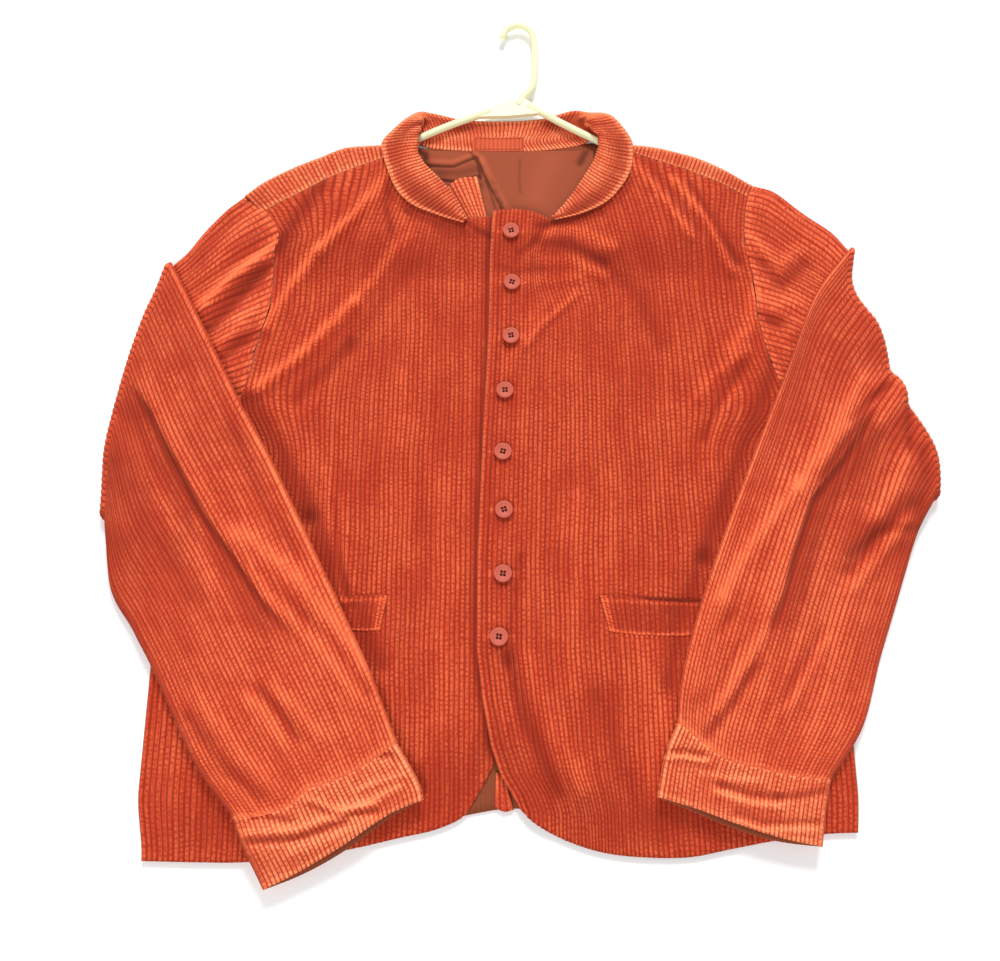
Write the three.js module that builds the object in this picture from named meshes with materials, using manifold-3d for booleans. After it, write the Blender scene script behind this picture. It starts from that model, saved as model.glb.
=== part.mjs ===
import * as THREE from 'three'
import Module from 'manifold-3d'

// Jumbo corduroy jacket laid flat on its back, sleeves folded in, with a plastic hanger in the neck.
// Millimetres, +Z up, collar towards +Y. Left and right are as seen from the front.

const WALL = 2 // corduroy, pile included
const SEAM = 0.4 // space between two sewn pieces
const LINING_WALL = 1
const LIFT = 2.5 // underside of a front where it meets the back
const PUFF = 4 // how much higher the fronts stand in their middle
const TENT = 11.5 // underside of the fronts over the hanger
const LAP = 2.5 // rise of the over front where it covers the under front
const SLEEVE = 6.4 // a flattened sleeve, both layers
const FOLD_AXIS = SLEEVE + SEAM // height of the axis the sleeve is folded about
const FOLD_OUT = { x: 0.96, y: 0.28 } // way out of the fold, level, on the right; mirrored on the left
const SLEEVE_CLIMB = 6 // rise of a folded sleeve on to the body
const SIDE_X = 297 // half the body's width at its sides
const HANGER_X = 248 // how far out the hanger holds the shoulders up
const NECK = { x: 7, y: 325, clear: 122, folded: 150 } // no folds within clear, all of them beyond folded
const NECK_SEAM_Z = 13 // height of the neck seam on the fronts
const WELT = { wide: 130, tall: 31, wall: 1.6 }
const BUTTON_RADIUS = 8
const HANGER_TUBE = 3.6 // radius
const HANGER_Z = LIFT + LINING_WALL + 0.2 + HANGER_TUBE
const BAR_Y = 261

const HEM_BACK = [
  { x: -291, y: -325 }, { x: -209, y: -326 }, { x: -120, y: -314 }, { x: -60, y: -299 },
  { x: -26, y: -291 }, { x: 10, y: -286 }, { x: 50, y: -291 }, { x: 114, y: -308 },
  { x: 188, y: -312 }, { x: 290, y: -304 },
]
const HEM_LEFT = [
  { x: -292, y: -327 }, { x: -245, y: -328 }, { x: -209, y: -328 }, { x: -163, y: -324 },
  { x: -123, y: -318 }, { x: -82, y: -309 }, { x: -51, y: -302 }, { x: -30, y: -292 }, { x: -21, y: -279 },
]
const HEM_RIGHT = [
  { x: 17, y: -286 }, { x: 25, y: -295 }, { x: 49, y: -309 }, { x: 82, y: -320 }, { x: 114, y: -324 },
  { x: 155, y: -324 }, { x: 188, y: -318 }, { x: 227, y: -311 }, { x: 267, y: -306 }, { x: 292, y: -305 },
]
const SIDE_LEFT = [{ x: -296, y: -295 }, { x: -298, y: -247 }, { x: -300, y: -180 }, { x: -298, y: -70 }]
const SIDE_RIGHT = [{ x: 294, y: -279 }, { x: 296, y: -240 }, { x: 297, y: -170 }, { x: 296, y: -60 }]
// Armholes, from the shoulder down to the pit
const ARMHOLE_LEFT = [
  { x: -250, y: 292 }, { x: -230, y: 274 }, { x: -214, y: 246 }, { x: -217, y: 225 }, { x: -219, y: 169 },
  { x: -229, y: 129 }, { x: -234, y: 98 }, { x: -243, y: 70 }, { x: -262, y: 45 }, { x: -290, y: 28 },
]
const ARMHOLE_RIGHT = [
  { x: 250, y: 303 }, { x: 244, y: 291 }, { x: 239, y: 267 }, { x: 237, y: 237 }, { x: 243, y: 194 },
  { x: 244, y: 161 }, { x: 252, y: 120 }, { x: 263, y: 90 }, { x: 276, y: 68 }, { x: 292, y: 50 },
]
// Outer line of each shoulder and the seam in front of it, from the neck outwards
const SHOULDER_LEFT = [
  { x: -107, y: 350 }, { x: -130, y: 349 }, { x: -156, y: 346 }, { x: -180, y: 335 }, { x: -202, y: 325 },
  { x: -230, y: 309 }, { x: -249, y: 295 },
]
const SHOULDER_SEAM_LEFT = [
  { x: -106, y: 336 }, { x: -122, y: 330 }, { x: -148, y: 319 }, { x: -168, y: 310 }, { x: -196, y: 293 },
  { x: -230, y: 274 },
]
const SHOULDER_RIGHT = [
  { x: 122, y: 350 }, { x: 140, y: 349 }, { x: 159, y: 346 }, { x: 180, y: 340 }, { x: 200, y: 333 },
  { x: 226, y: 319 }, { x: 250, y: 305 },
]
const SHOULDER_SEAM_RIGHT = [
  { x: 119, y: 341 }, { x: 132, y: 338 }, { x: 160, y: 328 }, { x: 188, y: 317 }, { x: 216, y: 304 },
  { x: 244, y: 291 },
]
// Front edges from the hem up; the under front's edge is hidden by the over front
const EDGE_UNDER = [
  { x: -9, y: -258 }, { x: 6, y: -228 }, { x: 18, y: -180 }, { x: 20, y: 20 }, { x: 23, y: 180 },
]
const EDGE_OVER = [
  { x: 11, y: -277 }, { x: 0, y: -259 }, { x: -8, y: -235 }, { x: -15, y: -198 }, { x: -20, y: -156 },
  { x: -20, y: -76 }, { x: -16, y: 36 }, { x: -11, y: 146 }, { x: -10, y: 222 }, { x: -8, y: 258 },
]
// The sleeves: overarm edge, fold, underarm edge, then the part that lies over the body
const ARM_LEFT = {
  side: -1,
  over: [{ x: -270, y: 276 }, { x: -288, y: 254 }, { x: -302, y: 232 }],
  fold: [
    { x: -322, y: 219 }, { x: -330, y: 188 }, { x: -337, y: 167 }, { x: -347, y: 125 }, { x: -357, y: 65 },
    { x: -361, y: 26 }, { x: -359, y: -12 }, { x: -358, y: -38 },
  ],
  under: [{ x: -318, y: 2 }],
  inner: [
    { x: -275, y: 142 }, { x: -238, y: 72 }, { x: -207, y: 18 }, { x: -176, y: -42 }, { x: -147, y: -99 },
    { x: -110, y: -174 },
  ],
  outer: [
    { x: -340, y: -104 }, { x: -317, y: -139 }, { x: -296, y: -173 }, { x: -273, y: -215 },
    { x: -249, y: -256 },
  ],
  cuffSeam: [
    { x: -85, y: -234 }, { x: -113, y: -254 }, { x: -136, y: -265 }, { x: -157, y: -272 },
    { x: -170, y: -284 },
    { x: -194, y: -292 }, { x: -218, y: -293 },
  ],
  cuffInner: [{ x: -65, y: -268 }],
  cuffOuter: [{ x: -207, y: -318 }],
  cuffEdge: [
    { x: -62, y: -279 }, { x: -90, y: -291 }, { x: -125, y: -314 }, { x: -161, y: -335 },
    { x: -190, y: -349 },
  ],
}
const ARM_RIGHT = {
  side: 1,
  over: [{ x: 269, y: 298 }, { x: 297, y: 275 }, { x: 324, y: 253 }],
  fold: [
    { x: 345, y: 235 }, { x: 341, y: 204 }, { x: 352, y: 166 }, { x: 364, y: 125 }, { x: 376, y: 95 },
    { x: 379, y: 65 }, { x: 391, y: 45 }, { x: 397, y: 7 }, { x: 395, y: -20 },
  ],
  under: [{ x: 335, y: 25 }],
  inner: [
    { x: 302, y: 186 }, { x: 268, y: 109 }, { x: 221, y: 3 }, { x: 187, y: -79 }, { x: 162, y: -149 },
    { x: 151, y: -191 },
  ],
  outer: [
    { x: 372, y: -49 }, { x: 357, y: -86 }, { x: 343, y: -121 }, { x: 329, y: -156 }, { x: 303, y: -223 },
  ],
  cuffSeam: [
    { x: 148, y: -217 }, { x: 168, y: -235 }, { x: 186, y: -248 }, { x: 208, y: -254 }, { x: 241, y: -261 },
    { x: 273, y: -264 },
  ],
  cuffInner: [{ x: 137, y: -241 }],
  cuffOuter: [{ x: 267, y: -287 }],
  cuffEdge: [
    { x: 128, y: -277 }, { x: 161, y: -287 }, { x: 194, y: -299 }, { x: 226, y: -309 }, { x: 261, y: -316 },
  ],
}
// Folds of the cloth: a line of three points, how high it stands (or sinks) and how far it spreads
const BODY_FOLDS = [
  { x1: -104, y1: 325, x2: -138, y2: 270, x3: -174, y3: 228, high: 2.2, wide: 12 },
  { x1: -174, y1: 228, x2: -200, y2: 190, x3: -220, y3: 147, high: 2, wide: 12 },
  { x1: -91, y1: 244, x2: -114, y2: 207, x3: -139, y3: 174, high: 1.8, wide: 12 },
  { x1: -139, y1: 174, x2: -184, y2: 121, x3: -224, y3: 86, high: 2.4, wide: 13 },
  { x1: -77, y1: 217, x2: -109, y2: 177, x3: -140, y3: 130, high: -1.4, wide: 12 },
  { x1: -158, y1: 6, x2: -148, y2: -59, x3: -137, y3: -113, high: 1.5, wide: 9 },
  { x1: 129, y1: 331, x2: 152, y2: 297, x3: 184, y3: 243, high: 1.4, wide: 12 },
  { x1: 170, y1: 306, x2: 199, y2: 261, x3: 221, y3: 208, high: 1.6, wide: 12 },
  { x1: 37, y1: 238, x2: 68, y2: 238, x3: 101, y3: 217, high: -1.8, wide: 11 },
  { x1: 96, y1: 217, x2: 133, y2: 177, x3: 150, y3: 130, high: -1.2, wide: 12 },
  { x1: 46, y1: 177, x2: 24, y2: 145, x3: 7, y3: 102, high: 1.6, wide: 13 },
  { x1: 243, y1: 181, x2: 235, y2: 145, x3: 217, y3: 123, high: 2.2, wide: 11 },
  { x1: 228, y1: 108, x2: 204, y2: 74, x3: 186, y3: 35, high: -1.4, wide: 11 },
  { x1: 7, y1: -165, x2: 21, y2: -217, x3: 47, y3: -275, high: -1.6, wide: 13 },
  { x1: 99, y1: -3, x2: 99, y2: -59, x3: 87, y3: -106, high: 1.1, wide: 9 },
]
const SLEEVE_FOLDS = [
  { x1: -214, y1: 240, x2: -249, y2: 206, x3: -282, y3: 172, high: 2.2, wide: 12 },
  { x1: -226, y1: 176, x2: -245, y2: 153, x3: -263, y3: 124, high: 1.5, wide: 10 },
  { x1: 251, y1: 285, x2: 291, y2: 256, x3: 332, y3: 221, high: 1.5, wide: 13 },
]
const LOWER_SLEEVE_FOLDS = [
  { x1: -330, y1: 100, x2: -296, y2: 25, x3: -250, y3: -45, high: 2.6, wide: 12 },
  { x1: -250, y1: -45, x2: -176, y2: -97, x3: -113, y3: -173, high: 2.6, wide: 12 },
  { x1: -349, y1: 13, x2: -317, y2: -43, x3: -266, y3: -114, high: -1, wide: 12 },
  { x1: -324, y1: 32, x2: -286, y2: -43, x3: -236, y3: -114, high: 1.4, wide: 14 },
  { x1: 336, y1: 94, x2: 298, y2: 34, x3: 264, y3: -15, high: 3.2, wide: 12 },
  { x1: 264, y1: -15, x2: 219, y2: -69, x3: 191, y3: -114, high: 2.8, wide: 12 },
  { x1: 191, y1: -114, x2: 177, y2: -149, x3: 168, y3: -191, high: 1.6, wide: 10 },
  { x1: 359, y1: 89, x2: 339, y2: 73, x3: 317, y3: 52, high: -1.6, wide: 9 },
  { x1: 359, y1: -43, x2: 342, y2: -65, x3: 306, y3: -105, high: 2, wide: 11 },
]
// Stations of the collar, from its end on the left front round the neck to its end on the right:
// s the neck seam, r the roll, e the outer edge
const COLLAR = [
  { sx: -39, sy: 263, sz: 13, rx: -31, ry: 261, rz: 15.6, ex: -35, ey: 257, ez: 16.2 },
  { sx: -46, sy: 272, sz: 13, rx: -37, ry: 273, rz: 16.4, ex: -60, ey: 266, ez: 15.8 },
  { sx: -58, sy: 287, sz: 13, rx: -47, ry: 292, rz: 17, ex: -86, ey: 278, ez: 15.8 },
  { sx: -72, sy: 303, sz: 13, rx: -61, ry: 309, rz: 17.4, ex: -101, ey: 294, ez: 15.8 },
  { sx: -84, sy: 316, sz: 13, rx: -74, ry: 322, rz: 17.6, ex: -109, ey: 312, ez: 16 },
  { sx: -92, sy: 329, sz: 13, rx: -80, ry: 333, rz: 17.8, ex: -115, ey: 331, ez: 16.4 },
  { sx: -98, sy: 343, sz: 13, rx: -80, ry: 348, rz: 17.8, ex: -117, ey: 347, ez: 16.6 },
  { sx: -102, sy: 355, sz: 12.8, rx: -78, ry: 362, rz: 17, ex: -107, ey: 361, ez: 17 },
  { sx: -100, sy: 363, sz: 6.5, rx: -77, ry: 373, rz: 13.5, ex: -93, ey: 376, ez: 16 },
  { sx: -89, sy: 360, sz: 1.7, rx: -76, ry: 380, rz: 5.6, ex: -81, ey: 388, ez: 9.5 },
  { sx: -73, sy: 352, sz: 1.5, rx: -71, ry: 371, rz: 1.7, ex: -69, ey: 390, ez: 4.4 },
  { sx: -38, sy: 347.5, sz: 1.5, rx: -38, ry: 366, rz: 1.5, ex: -38, ey: 384, ez: 1.8 },
  { sx: 0, sy: 346, sz: 1.5, rx: 0, ry: 364, rz: 1.5, ex: 0, ey: 382, ez: 1.8 },
  { sx: 42, sy: 348, sz: 1.5, rx: 42, ry: 367, rz: 1.5, ex: 42, ey: 385, ez: 1.8 },
  { sx: 82, sy: 355, sz: 1.5, rx: 78, ry: 375, rz: 1.7, ex: 75, ey: 393, ez: 4.4 },
  { sx: 98, sy: 364, sz: 1.7, rx: 82, ry: 381, rz: 5.6, ex: 90, ey: 387, ez: 9.5 },
  { sx: 112, sy: 367, sz: 6.5, rx: 87, ry: 373, rz: 13.5, ex: 109, ey: 380, ez: 16 },
  { sx: 117, sy: 358, sz: 12.8, rx: 92, ry: 362, rz: 17, ex: 122, ey: 365, ez: 17 },
  { sx: 114, sy: 347, sz: 13, rx: 97, ry: 350, rz: 17.8, ex: 131, ey: 347, ez: 16.6 },
  { sx: 109, sy: 335, sz: 13, rx: 96, ry: 338, rz: 17.8, ex: 131, ey: 331, ez: 16.4 },
  { sx: 102, sy: 321, sz: 13, rx: 91, ry: 324, rz: 17.6, ex: 128, ey: 315, ez: 16 },
  { sx: 93, sy: 307, sz: 13, rx: 82, ry: 309, rz: 17.4, ex: 119, ey: 298, ez: 15.8 },
  { sx: 81, sy: 291, sz: 13, rx: 71, ry: 290, rz: 17, ex: 104, ey: 281, ez: 15.8 },
  { sx: 67, sy: 274, sz: 13, rx: 58, ry: 272, rz: 16.4, ex: 80, ey: 268, ez: 16.2 },
  { sx: 57, sy: 264, sz: 15.2, rx: 49, ry: 263, rz: 16.2, ex: 53, ey: 260, ez: 16.8 },
]
const BUTTONS = [
  { x: 10.7, y: 247.4 }, { x: 11.5, y: 194.6 }, { x: 10.3, y: 138 }, { x: 4.6, y: 83.3 },
  { x: 2.7, y: 23.6 }, { x: 3.6, y: -31.2 }, { x: 2.6, y: -89.5 }, { x: -0.9, y: -144.9 },
]
const WELTS = [
  { name: 'pocket_welt_left', x: -227, y: -140, tilt: 0.6 },
  { name: 'pocket_welt_right', x: 86, y: -139, tilt: -0.6 },
]
// Path of the hanger's arms and bar, from the left of its hub round to the right of it
const HANGER_PATH = [
  { x: -10, y: 390 }, { x: -26, y: 384 }, { x: -52, y: 373 }, { x: -78, y: 360 }, { x: -117, y: 336 },
  { x: -160, y: 318 }, { x: -190, y: 300 }, { x: -204, y: 284 }, { x: -203, y: 270 }, { x: -190, y: 262 },
  { x: -170, y: BAR_Y }, { x: -80, y: BAR_Y }, { x: 0, y: BAR_Y }, { x: 90, y: BAR_Y }, { x: 172, y: BAR_Y },
  { x: 194, y: 263 }, { x: 208, y: 271 }, { x: 210, y: 285 }, { x: 197, y: 301 }, { x: 165, y: 323 },
  { x: 130, y: 338 }, { x: 97, y: 356 }, { x: 66, y: 374 }, { x: 40, y: 390 }, { x: 28, y: 396 },
]
const HANGER_HUB = [
  { x: -26, y: 386 }, { x: 0, y: 397 }, { x: 14, y: 404 }, { x: 26, y: 404 }, { x: 40, y: 393 },
  { x: 38, y: 387 }, { x: 10, y: 384 }, { x: -20, y: 383 },
]
const HANGER_HOOK = [
  { x: 18, y: 397 }, { x: 24, y: 408 }, { x: 33, y: 420 }, { x: 35, y: 432 }, { x: 35, y: 478 },
  { x: 30, y: 491 },
  { x: 18.5, y: 496 }, { x: 7, y: 491 }, { x: 2, y: 480 },
]

const colours = { corduroy: 0xc4492d, lining: 0xb75d41, button: 0xcc5d49, plastic: 0xfafbe0, label: 0xe56f49 }
const { Manifold, Mesh } = await Module().then(m => (m.setup(), m))
const jacket = new THREE.Group()
jacket.name = 'corduroy_jacket'

const lerp = THREE.MathUtils.lerp
const step = (value, from, to) => {
  const t = THREE.MathUtils.clamp((value - from) / (to - from), 0, 1)
  return t * t * (3 - 2 * t)
}
const curve = rows => new THREE.CatmullRomCurve3(rows.map(p => new THREE.Vector3(p.x, p.y, p.z ?? 0)))
const moved = (rows, dx, dy) => rows.map(p => ({ x: p.x + dx, y: p.y + dy }))

// A four-sided patch of cloth: (u, v) from its near edge v = 0 to its far edge v = 1; first and last
// hold the points of its side edges between the two, if they bend
function patch(near, far, first = [], last = []) {
  const a = curve(near)
  const b = curve(far)
  const c = curve([near[0], ...first, far[0]])
  const d = curve([near.at(-1), ...last, far.at(-1)])
  return (u, v) => {
    const p = a.getPointAt(u).multiplyScalar(1 - v).addScaledVector(b.getPointAt(u), v)
    p.addScaledVector(c.getPointAt(v), 1 - u).addScaledVector(d.getPointAt(v), u)
    p.addScaledVector(a.points[0], -(1 - u) * (1 - v)).addScaledVector(a.points.at(-1), -u * (1 - v))
    return p.addScaledVector(b.points[0], -(1 - u) * v).addScaledVector(b.points.at(-1), -u * v)
  }
}

// Closed body between two grids of points; a ring's last column meets its first
function shell(name, slot, outer, inner, ring = false) {
  const rows = outer.length
  const cols = outer[0].length
  const points = [...outer.flat(), ...inner.flat()]
  const at = (layer, i, j) => layer * rows * cols + i * cols + (j % cols)
  const index = []
  const quad = (a, b, c, d) => index.push(a, b, c, a, c, d)
  const spans = ring ? cols : cols - 1
  for (let i = 0; i < rows - 1; i++) {
    for (let j = 0; j < spans; j++) {
      quad(at(0, i, j), at(0, i, j + 1), at(0, i + 1, j + 1), at(0, i + 1, j))
      quad(at(1, i, j), at(1, i + 1, j), at(1, i + 1, j + 1), at(1, i, j + 1))
    }
  }
  for (let j = 0; j < spans; j++) {
    quad(at(0, 0, j), at(1, 0, j), at(1, 0, j + 1), at(0, 0, j + 1))
    quad(at(0, rows - 1, j), at(0, rows - 1, j + 1), at(1, rows - 1, j + 1), at(1, rows - 1, j))
  }
  for (let i = 0; !ring && i < rows - 1; i++) {
    quad(at(0, i, 0), at(0, i + 1, 0), at(1, i + 1, 0), at(1, i, 0))
    quad(at(0, i, cols - 1), at(1, i, cols - 1), at(1, i + 1, cols - 1), at(0, i + 1, cols - 1))
  }
  return body(name, slot, points, index)
}

// Adds a named mesh, turned so that its faces look outwards
function body(name, slot, points, index) {
  let volume = 0
  for (let i = 0; i < index.length; i += 3) {
    const [a, b, c] = index.slice(i, i + 3).map(k => points[k])
    volume += a.dot(new THREE.Vector3().crossVectors(b, c))
  }
  if (volume < 0) index.reverse()
  const geometry = new THREE.BufferGeometry().setFromPoints(points)
  geometry.setIndex(index)
  geometry.computeVertexNormals()
  return add(name, slot, geometry)
}

function add(name, slot, geometry) {
  const material = new THREE.MeshStandardMaterial({ color: colours[slot], roughness: 0.9 })
  const mesh = new THREE.Mesh(geometry, material)
  mesh.name = name
  jacket.add(mesh)
  return mesh
}

// A geometry as a body that can be joined and cut, and back again
function solid(geometry) {
  const flat = geometry.index ? geometry.toNonIndexed() : geometry
  const mesh = new Mesh({
    numProp: 3,
    vertProperties: new Float32Array(flat.attributes.position.array),
    triVerts: Uint32Array.from({ length: flat.attributes.position.count }, (_, k) => k),
  })
  mesh.merge()
  return new Manifold(mesh)
}

function geometryOf(cut) {
  const mesh = cut.getMesh()
  const positions = [...Array(mesh.numVert).keys()].flatMap(k => [...mesh.position(k)])
  const geometry = new THREE.BufferGeometry()
  geometry.setAttribute('position', new THREE.Float32BufferAttribute(positions, 3))
  geometry.setIndex([...mesh.triVerts])
  geometry.computeVertexNormals()
  return geometry
}

// Cuts a sewn piece back along a neighbour's outline
function trim(name, outline) {
  const shape = new THREE.Shape(outline.map(p => new THREE.Vector2(p.x, p.y)))
  const tool = new THREE.ExtrudeGeometry(shape, { depth: 60, bevelEnabled: false }).translate(0, 0, -20)
  const mesh = jacket.getObjectByName(name)
  mesh.geometry = geometryOf(solid(mesh.geometry).subtract(solid(tool)))
}

// Grid of points over a patch, at the height that the function gives
function spread(surface, across, along, height) {
  const rows = []
  for (let i = 0; i <= along; i++) {
    rows.push([])
    for (let j = 0; j <= across; j++) {
      const p = surface(j / across, i / along)
      rows[i].push(new THREE.Vector3(p.x, p.y, height(p.x, p.y, i / along)))
    }
  }
  return rows
}

function sheet(name, slot, surface, across, along, height, wall = WALL) {
  const under = spread(surface, across, along, height)
  const top = under.map(row => row.map(p => new THREE.Vector3(p.x, p.y, p.z + wall)))
  return shell(name, slot, top, under)
}

function distanceToLine(x, y, ax, ay, bx, by) {
  const along = ((x - ax) * (bx - ax) + (y - ay) * (by - ay)) / ((bx - ax) ** 2 + (by - ay) ** 2)
  const t = THREE.MathUtils.clamp(along, 0, 1)
  return Math.hypot(x - lerp(ax, bx, t), y - lerp(ay, by, t))
}

function foldHeight(folds, x, y) {
  return folds.reduce((sum, f) => {
    const d = Math.min(
      distanceToLine(x, y, f.x1, f.y1, f.x2, f.y2), distanceToLine(x, y, f.x2, f.y2, f.x3, f.y3))
    return sum + f.high * Math.exp(-((d / f.wide) ** 2))
  }, 0)
}

// Height of the fronts' underside: low at the sides and hem, higher in the middle and over the hanger
function frontUnder(x, y, v = 0.5) {
  const loose = step(SIDE_X - Math.abs(x), 0, 55) * step(v, 0, 0.1)
  const tent = step(y, BAR_Y - 66, BAR_Y - 9) * step(HANGER_X - Math.abs(x), 0, 34)
  const folded = step(Math.hypot(x - NECK.x, y - NECK.y), NECK.clear, NECK.folded) * loose
  const fold = foldHeight(BODY_FOLDS, x, y) * folded
  return lerp(LIFT + PUFF * loose + fold, TENT + Math.max(0, fold), tent)
}

// The over front stands higher where it covers the under front's edge
const frontOver = (x, y, v) => frontUnder(x, y, v) + (LAP + 0.3) * (1 - step(x, 26, 50))

// The neck edge of a front, a little outside the collar's seam
const neckline = side => COLLAR.filter(s => s.sx * side > 0 && s.sz === NECK_SEAM_Z)
  .map(s => ({ x: s.sx + side * 2.4, y: s.sy - 1 }))

function buildBack() {
  const shoulder = [
    ...moved(SHOULDER_LEFT, 6, -14).reverse(), { x: -103, y: 346 }, { x: -90, y: 353 }, { x: -73, y: 350 },
    { x: 0, y: 344 }, { x: 82, y: 352 }, { x: 98, y: 359 }, { x: 115, y: 349 },
    ...moved(SHOULDER_RIGHT, -6, -14),
  ]
  const left = [...SIDE_LEFT, ...moved(ARMHOLE_LEFT.slice(1), -5, 0).reverse()]
  const right = [...SIDE_RIGHT, ...moved(ARMHOLE_RIGHT.slice(1), 5, 0).reverse()]
  sheet('back', 'corduroy', patch(HEM_BACK, shoulder, left, right), 24, 12, () => 0)
}

function buildFronts() {
  const across = 20
  const along = 24
  const topLeft = [
    ...moved(SHOULDER_SEAM_LEFT, 0, 3).reverse(), ...neckline(-1).reverse(), { x: -10, y: 261.5 },
    { x: 24, y: 262 },
  ]
  const sideLeft = [...SIDE_LEFT, ...moved(ARMHOLE_LEFT.slice(2), -5, 0).reverse()]
  const under = patch(HEM_LEFT, topLeft, sideLeft, EDGE_UNDER)
  sheet('front_under', 'corduroy', under, across, along, frontUnder)
  const topRight = [
    { x: -6, y: 270 }, { x: 15, y: 272.5 }, { x: 36, y: 269 }, { x: 54, y: 262 },
    ...neckline(1).reverse(), ...moved(SHOULDER_SEAM_RIGHT, 0, 3),
  ]
  const sideRight = [...SIDE_RIGHT, ...moved(ARMHOLE_RIGHT.slice(2), 5, 0).reverse()]
  const over = patch(HEM_RIGHT, topRight, EDGE_OVER, sideRight)
  sheet('front_over', 'corduroy', over, across, along, frontOver)
}

// The back comes over the shoulder as a strip: flat on the back, round the hanger, down to the front seam
function buildShoulderStrip(name, outline, seam) {
  const rows = 9
  const flatPart = 13
  const outer = []
  const inner = []
  const backEdge = []
  const seamLine = []
  for (let i = 0; i <= rows; i++) {
    const p = curve(outline).getPointAt(i / rows)
    const q = curve(seam).getPointAt(i / rows)
    const long = Math.hypot(q.x - p.x, q.y - p.y)
    const inward = new THREE.Vector3(q.x - p.x, q.y - p.y, 0).normalize()
    const roll = (frontUnder(q.x, q.y) + WALL) / 2 + 0.3
    const section = radius => {
      const path = [{ s: Math.min(flatPart, long), z: roll - radius }]
      for (let k = 0; k <= 6; k++) {
        const turn = Math.PI * k / 6
        path.push({ s: roll - radius * Math.sin(turn), z: roll - radius * Math.cos(turn) })
      }
      path.push({ s: lerp(roll, long, 0.5), z: roll + radius }, { s: long, z: roll + radius - 0.3 })
      return path.map(k => new THREE.Vector3(p.x + inward.x * k.s, p.y + inward.y * k.s, k.z))
    }
    backEdge.push(p.clone().addScaledVector(inward, Math.min(flatPart, long) + SEAM))
    seamLine.push(q)
    outer.push(section(roll))
    inner.push(section(roll - WALL))
  }
  shell(name, 'corduroy', outer, inner)
  trimAtShoulder(backEdge, seamLine)
}

// Cuts the back and the front back to the strip between them
function trimAtShoulder(backEdge, seamLine) {
  const above = 370
  const near = seamLine[0]
  const far = seamLine.at(-1)
  const side = Math.sign(near.x)
  const beyond = far.x + side * 30
  backEdge[0].x -= side * 0.6
  trim('back', [
    { x: backEdge[0].x, y: above }, ...backEdge, { x: beyond, y: backEdge.at(-1).y }, { x: beyond, y: above },
  ])
  trim(side < 0 ? 'front_under' : 'front_over', [
    { x: near.x - side * 0.5, y: above }, { x: near.x - side * 0.5, y: near.y - SEAM },
    ...moved(seamLine, 0, -SEAM), { x: beyond, y: far.y }, { x: beyond, y: above },
  ])
}

// Rise of the part of a sleeve that lies on the body, easing down beyond the side and the hem
function sleeveRest(x, y) {
  const onBody = 1 - step(Math.abs(x), 235, 305)
  const beyondSide = step(Math.abs(x), 304, 326) * step(-y, 40, 80)
  const beyondHem = step(-y, 308, 352)
  return SLEEVE_CLIMB * onBody * (1 - 0.6 * beyondHem) - 3.4 * beyondSide
}

// Moves a point of the sleeve's wall about the fold: turn 0 is before it, pi is after it
function sleevePoint(arm, p, wallHeight, turn) {
  const reach = FOLD_AXIS - wallHeight
  const x = p.x + arm.side * FOLD_OUT.x * reach * Math.sin(turn)
  const y = p.y + FOLD_OUT.y * reach * Math.sin(turn)
  const after = turn / Math.PI
  const before = wallHeight > SLEEVE / 2 ? foldHeight(SLEEVE_FOLDS, x, y) * (1 - after) : 0
  const later = (sleeveRest(x, y) + foldHeight(LOWER_SLEEVE_FOLDS, x, y)) * after
  return new THREE.Vector3(x, y, FOLD_AXIS - reach * Math.cos(turn) + before + later)
}

// Section of a flattened tube of cloth as places across it and up it; the inner wall lies inside
function flatRing(steps, inset) {
  const width = 170
  const edge = 0.022 + inset / (1.5 * width)
  const across = [...Array(steps + 1).keys()].map(k => lerp(edge, 1 - edge, k / steps))
  return [
    { u: inset / width, h: SLEEVE / 2 }, ...across.map(u => ({ u, h: SLEEVE - inset })),
    { u: 1 - inset / width, h: SLEEVE / 2 }, ...across.reverse().map(u => ({ u, h: inset })),
  ]
}

function buildSleeve(arm, names, armhole) {
  const axis = moved(arm.fold, -arm.side * FOLD_OUT.x * FOLD_AXIS, -FOLD_OUT.y * FOLD_AXIS)
  const upper = patch(moved(armhole, arm.side * 0.6, 0.4), axis, arm.over, arm.under)
  const lower = patch(axis, arm.cuffSeam, arm.inner, arm.outer)
  const across = 9
  const along = 14
  const levels = [
    ...[0, 0.2, 0.4, 0.6, 0.8, 1].map(v => ({ surface: upper, v, turn: 0 })),
    ...[0.25, 0.5, 0.75].map(k => ({ surface: lower, v: 0, turn: Math.PI * k })),
    ...[...Array(along + 1).keys()].map(k => ({ surface: lower, v: k / along, turn: Math.PI })),
  ]
  const loft = (list, inset) => list.map(({ surface, v, turn }) =>
    flatRing(across, inset).map(({ u, h }) => sleevePoint(arm, surface(u, v), h, turn)))
  shell(names[0], 'corduroy', loft(levels, 0), loft(levels, WALL), true)
  const cuff = patch(moved(arm.cuffSeam, -arm.side * 0.2, -0.5), arm.cuffEdge, arm.cuffInner, arm.cuffOuter)
  const cuffLevels = [0, 0.33, 0.66, 1].map(v => ({ surface: cuff, v, turn: Math.PI }))
  shell(names[1], 'corduroy', loft(cuffLevels, 0), loft(cuffLevels, WALL), true)
  const topLayer = flatRing(across, 0).slice(0, across + 3)
  trimAtArmhole(arm.side, [
    ...topLayer.map(({ u }) => upper(u, 0)), ...[0.2, 0.4, 0.6, 0.8, 1].map(v => upper(1, v)),
  ])
}

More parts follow.
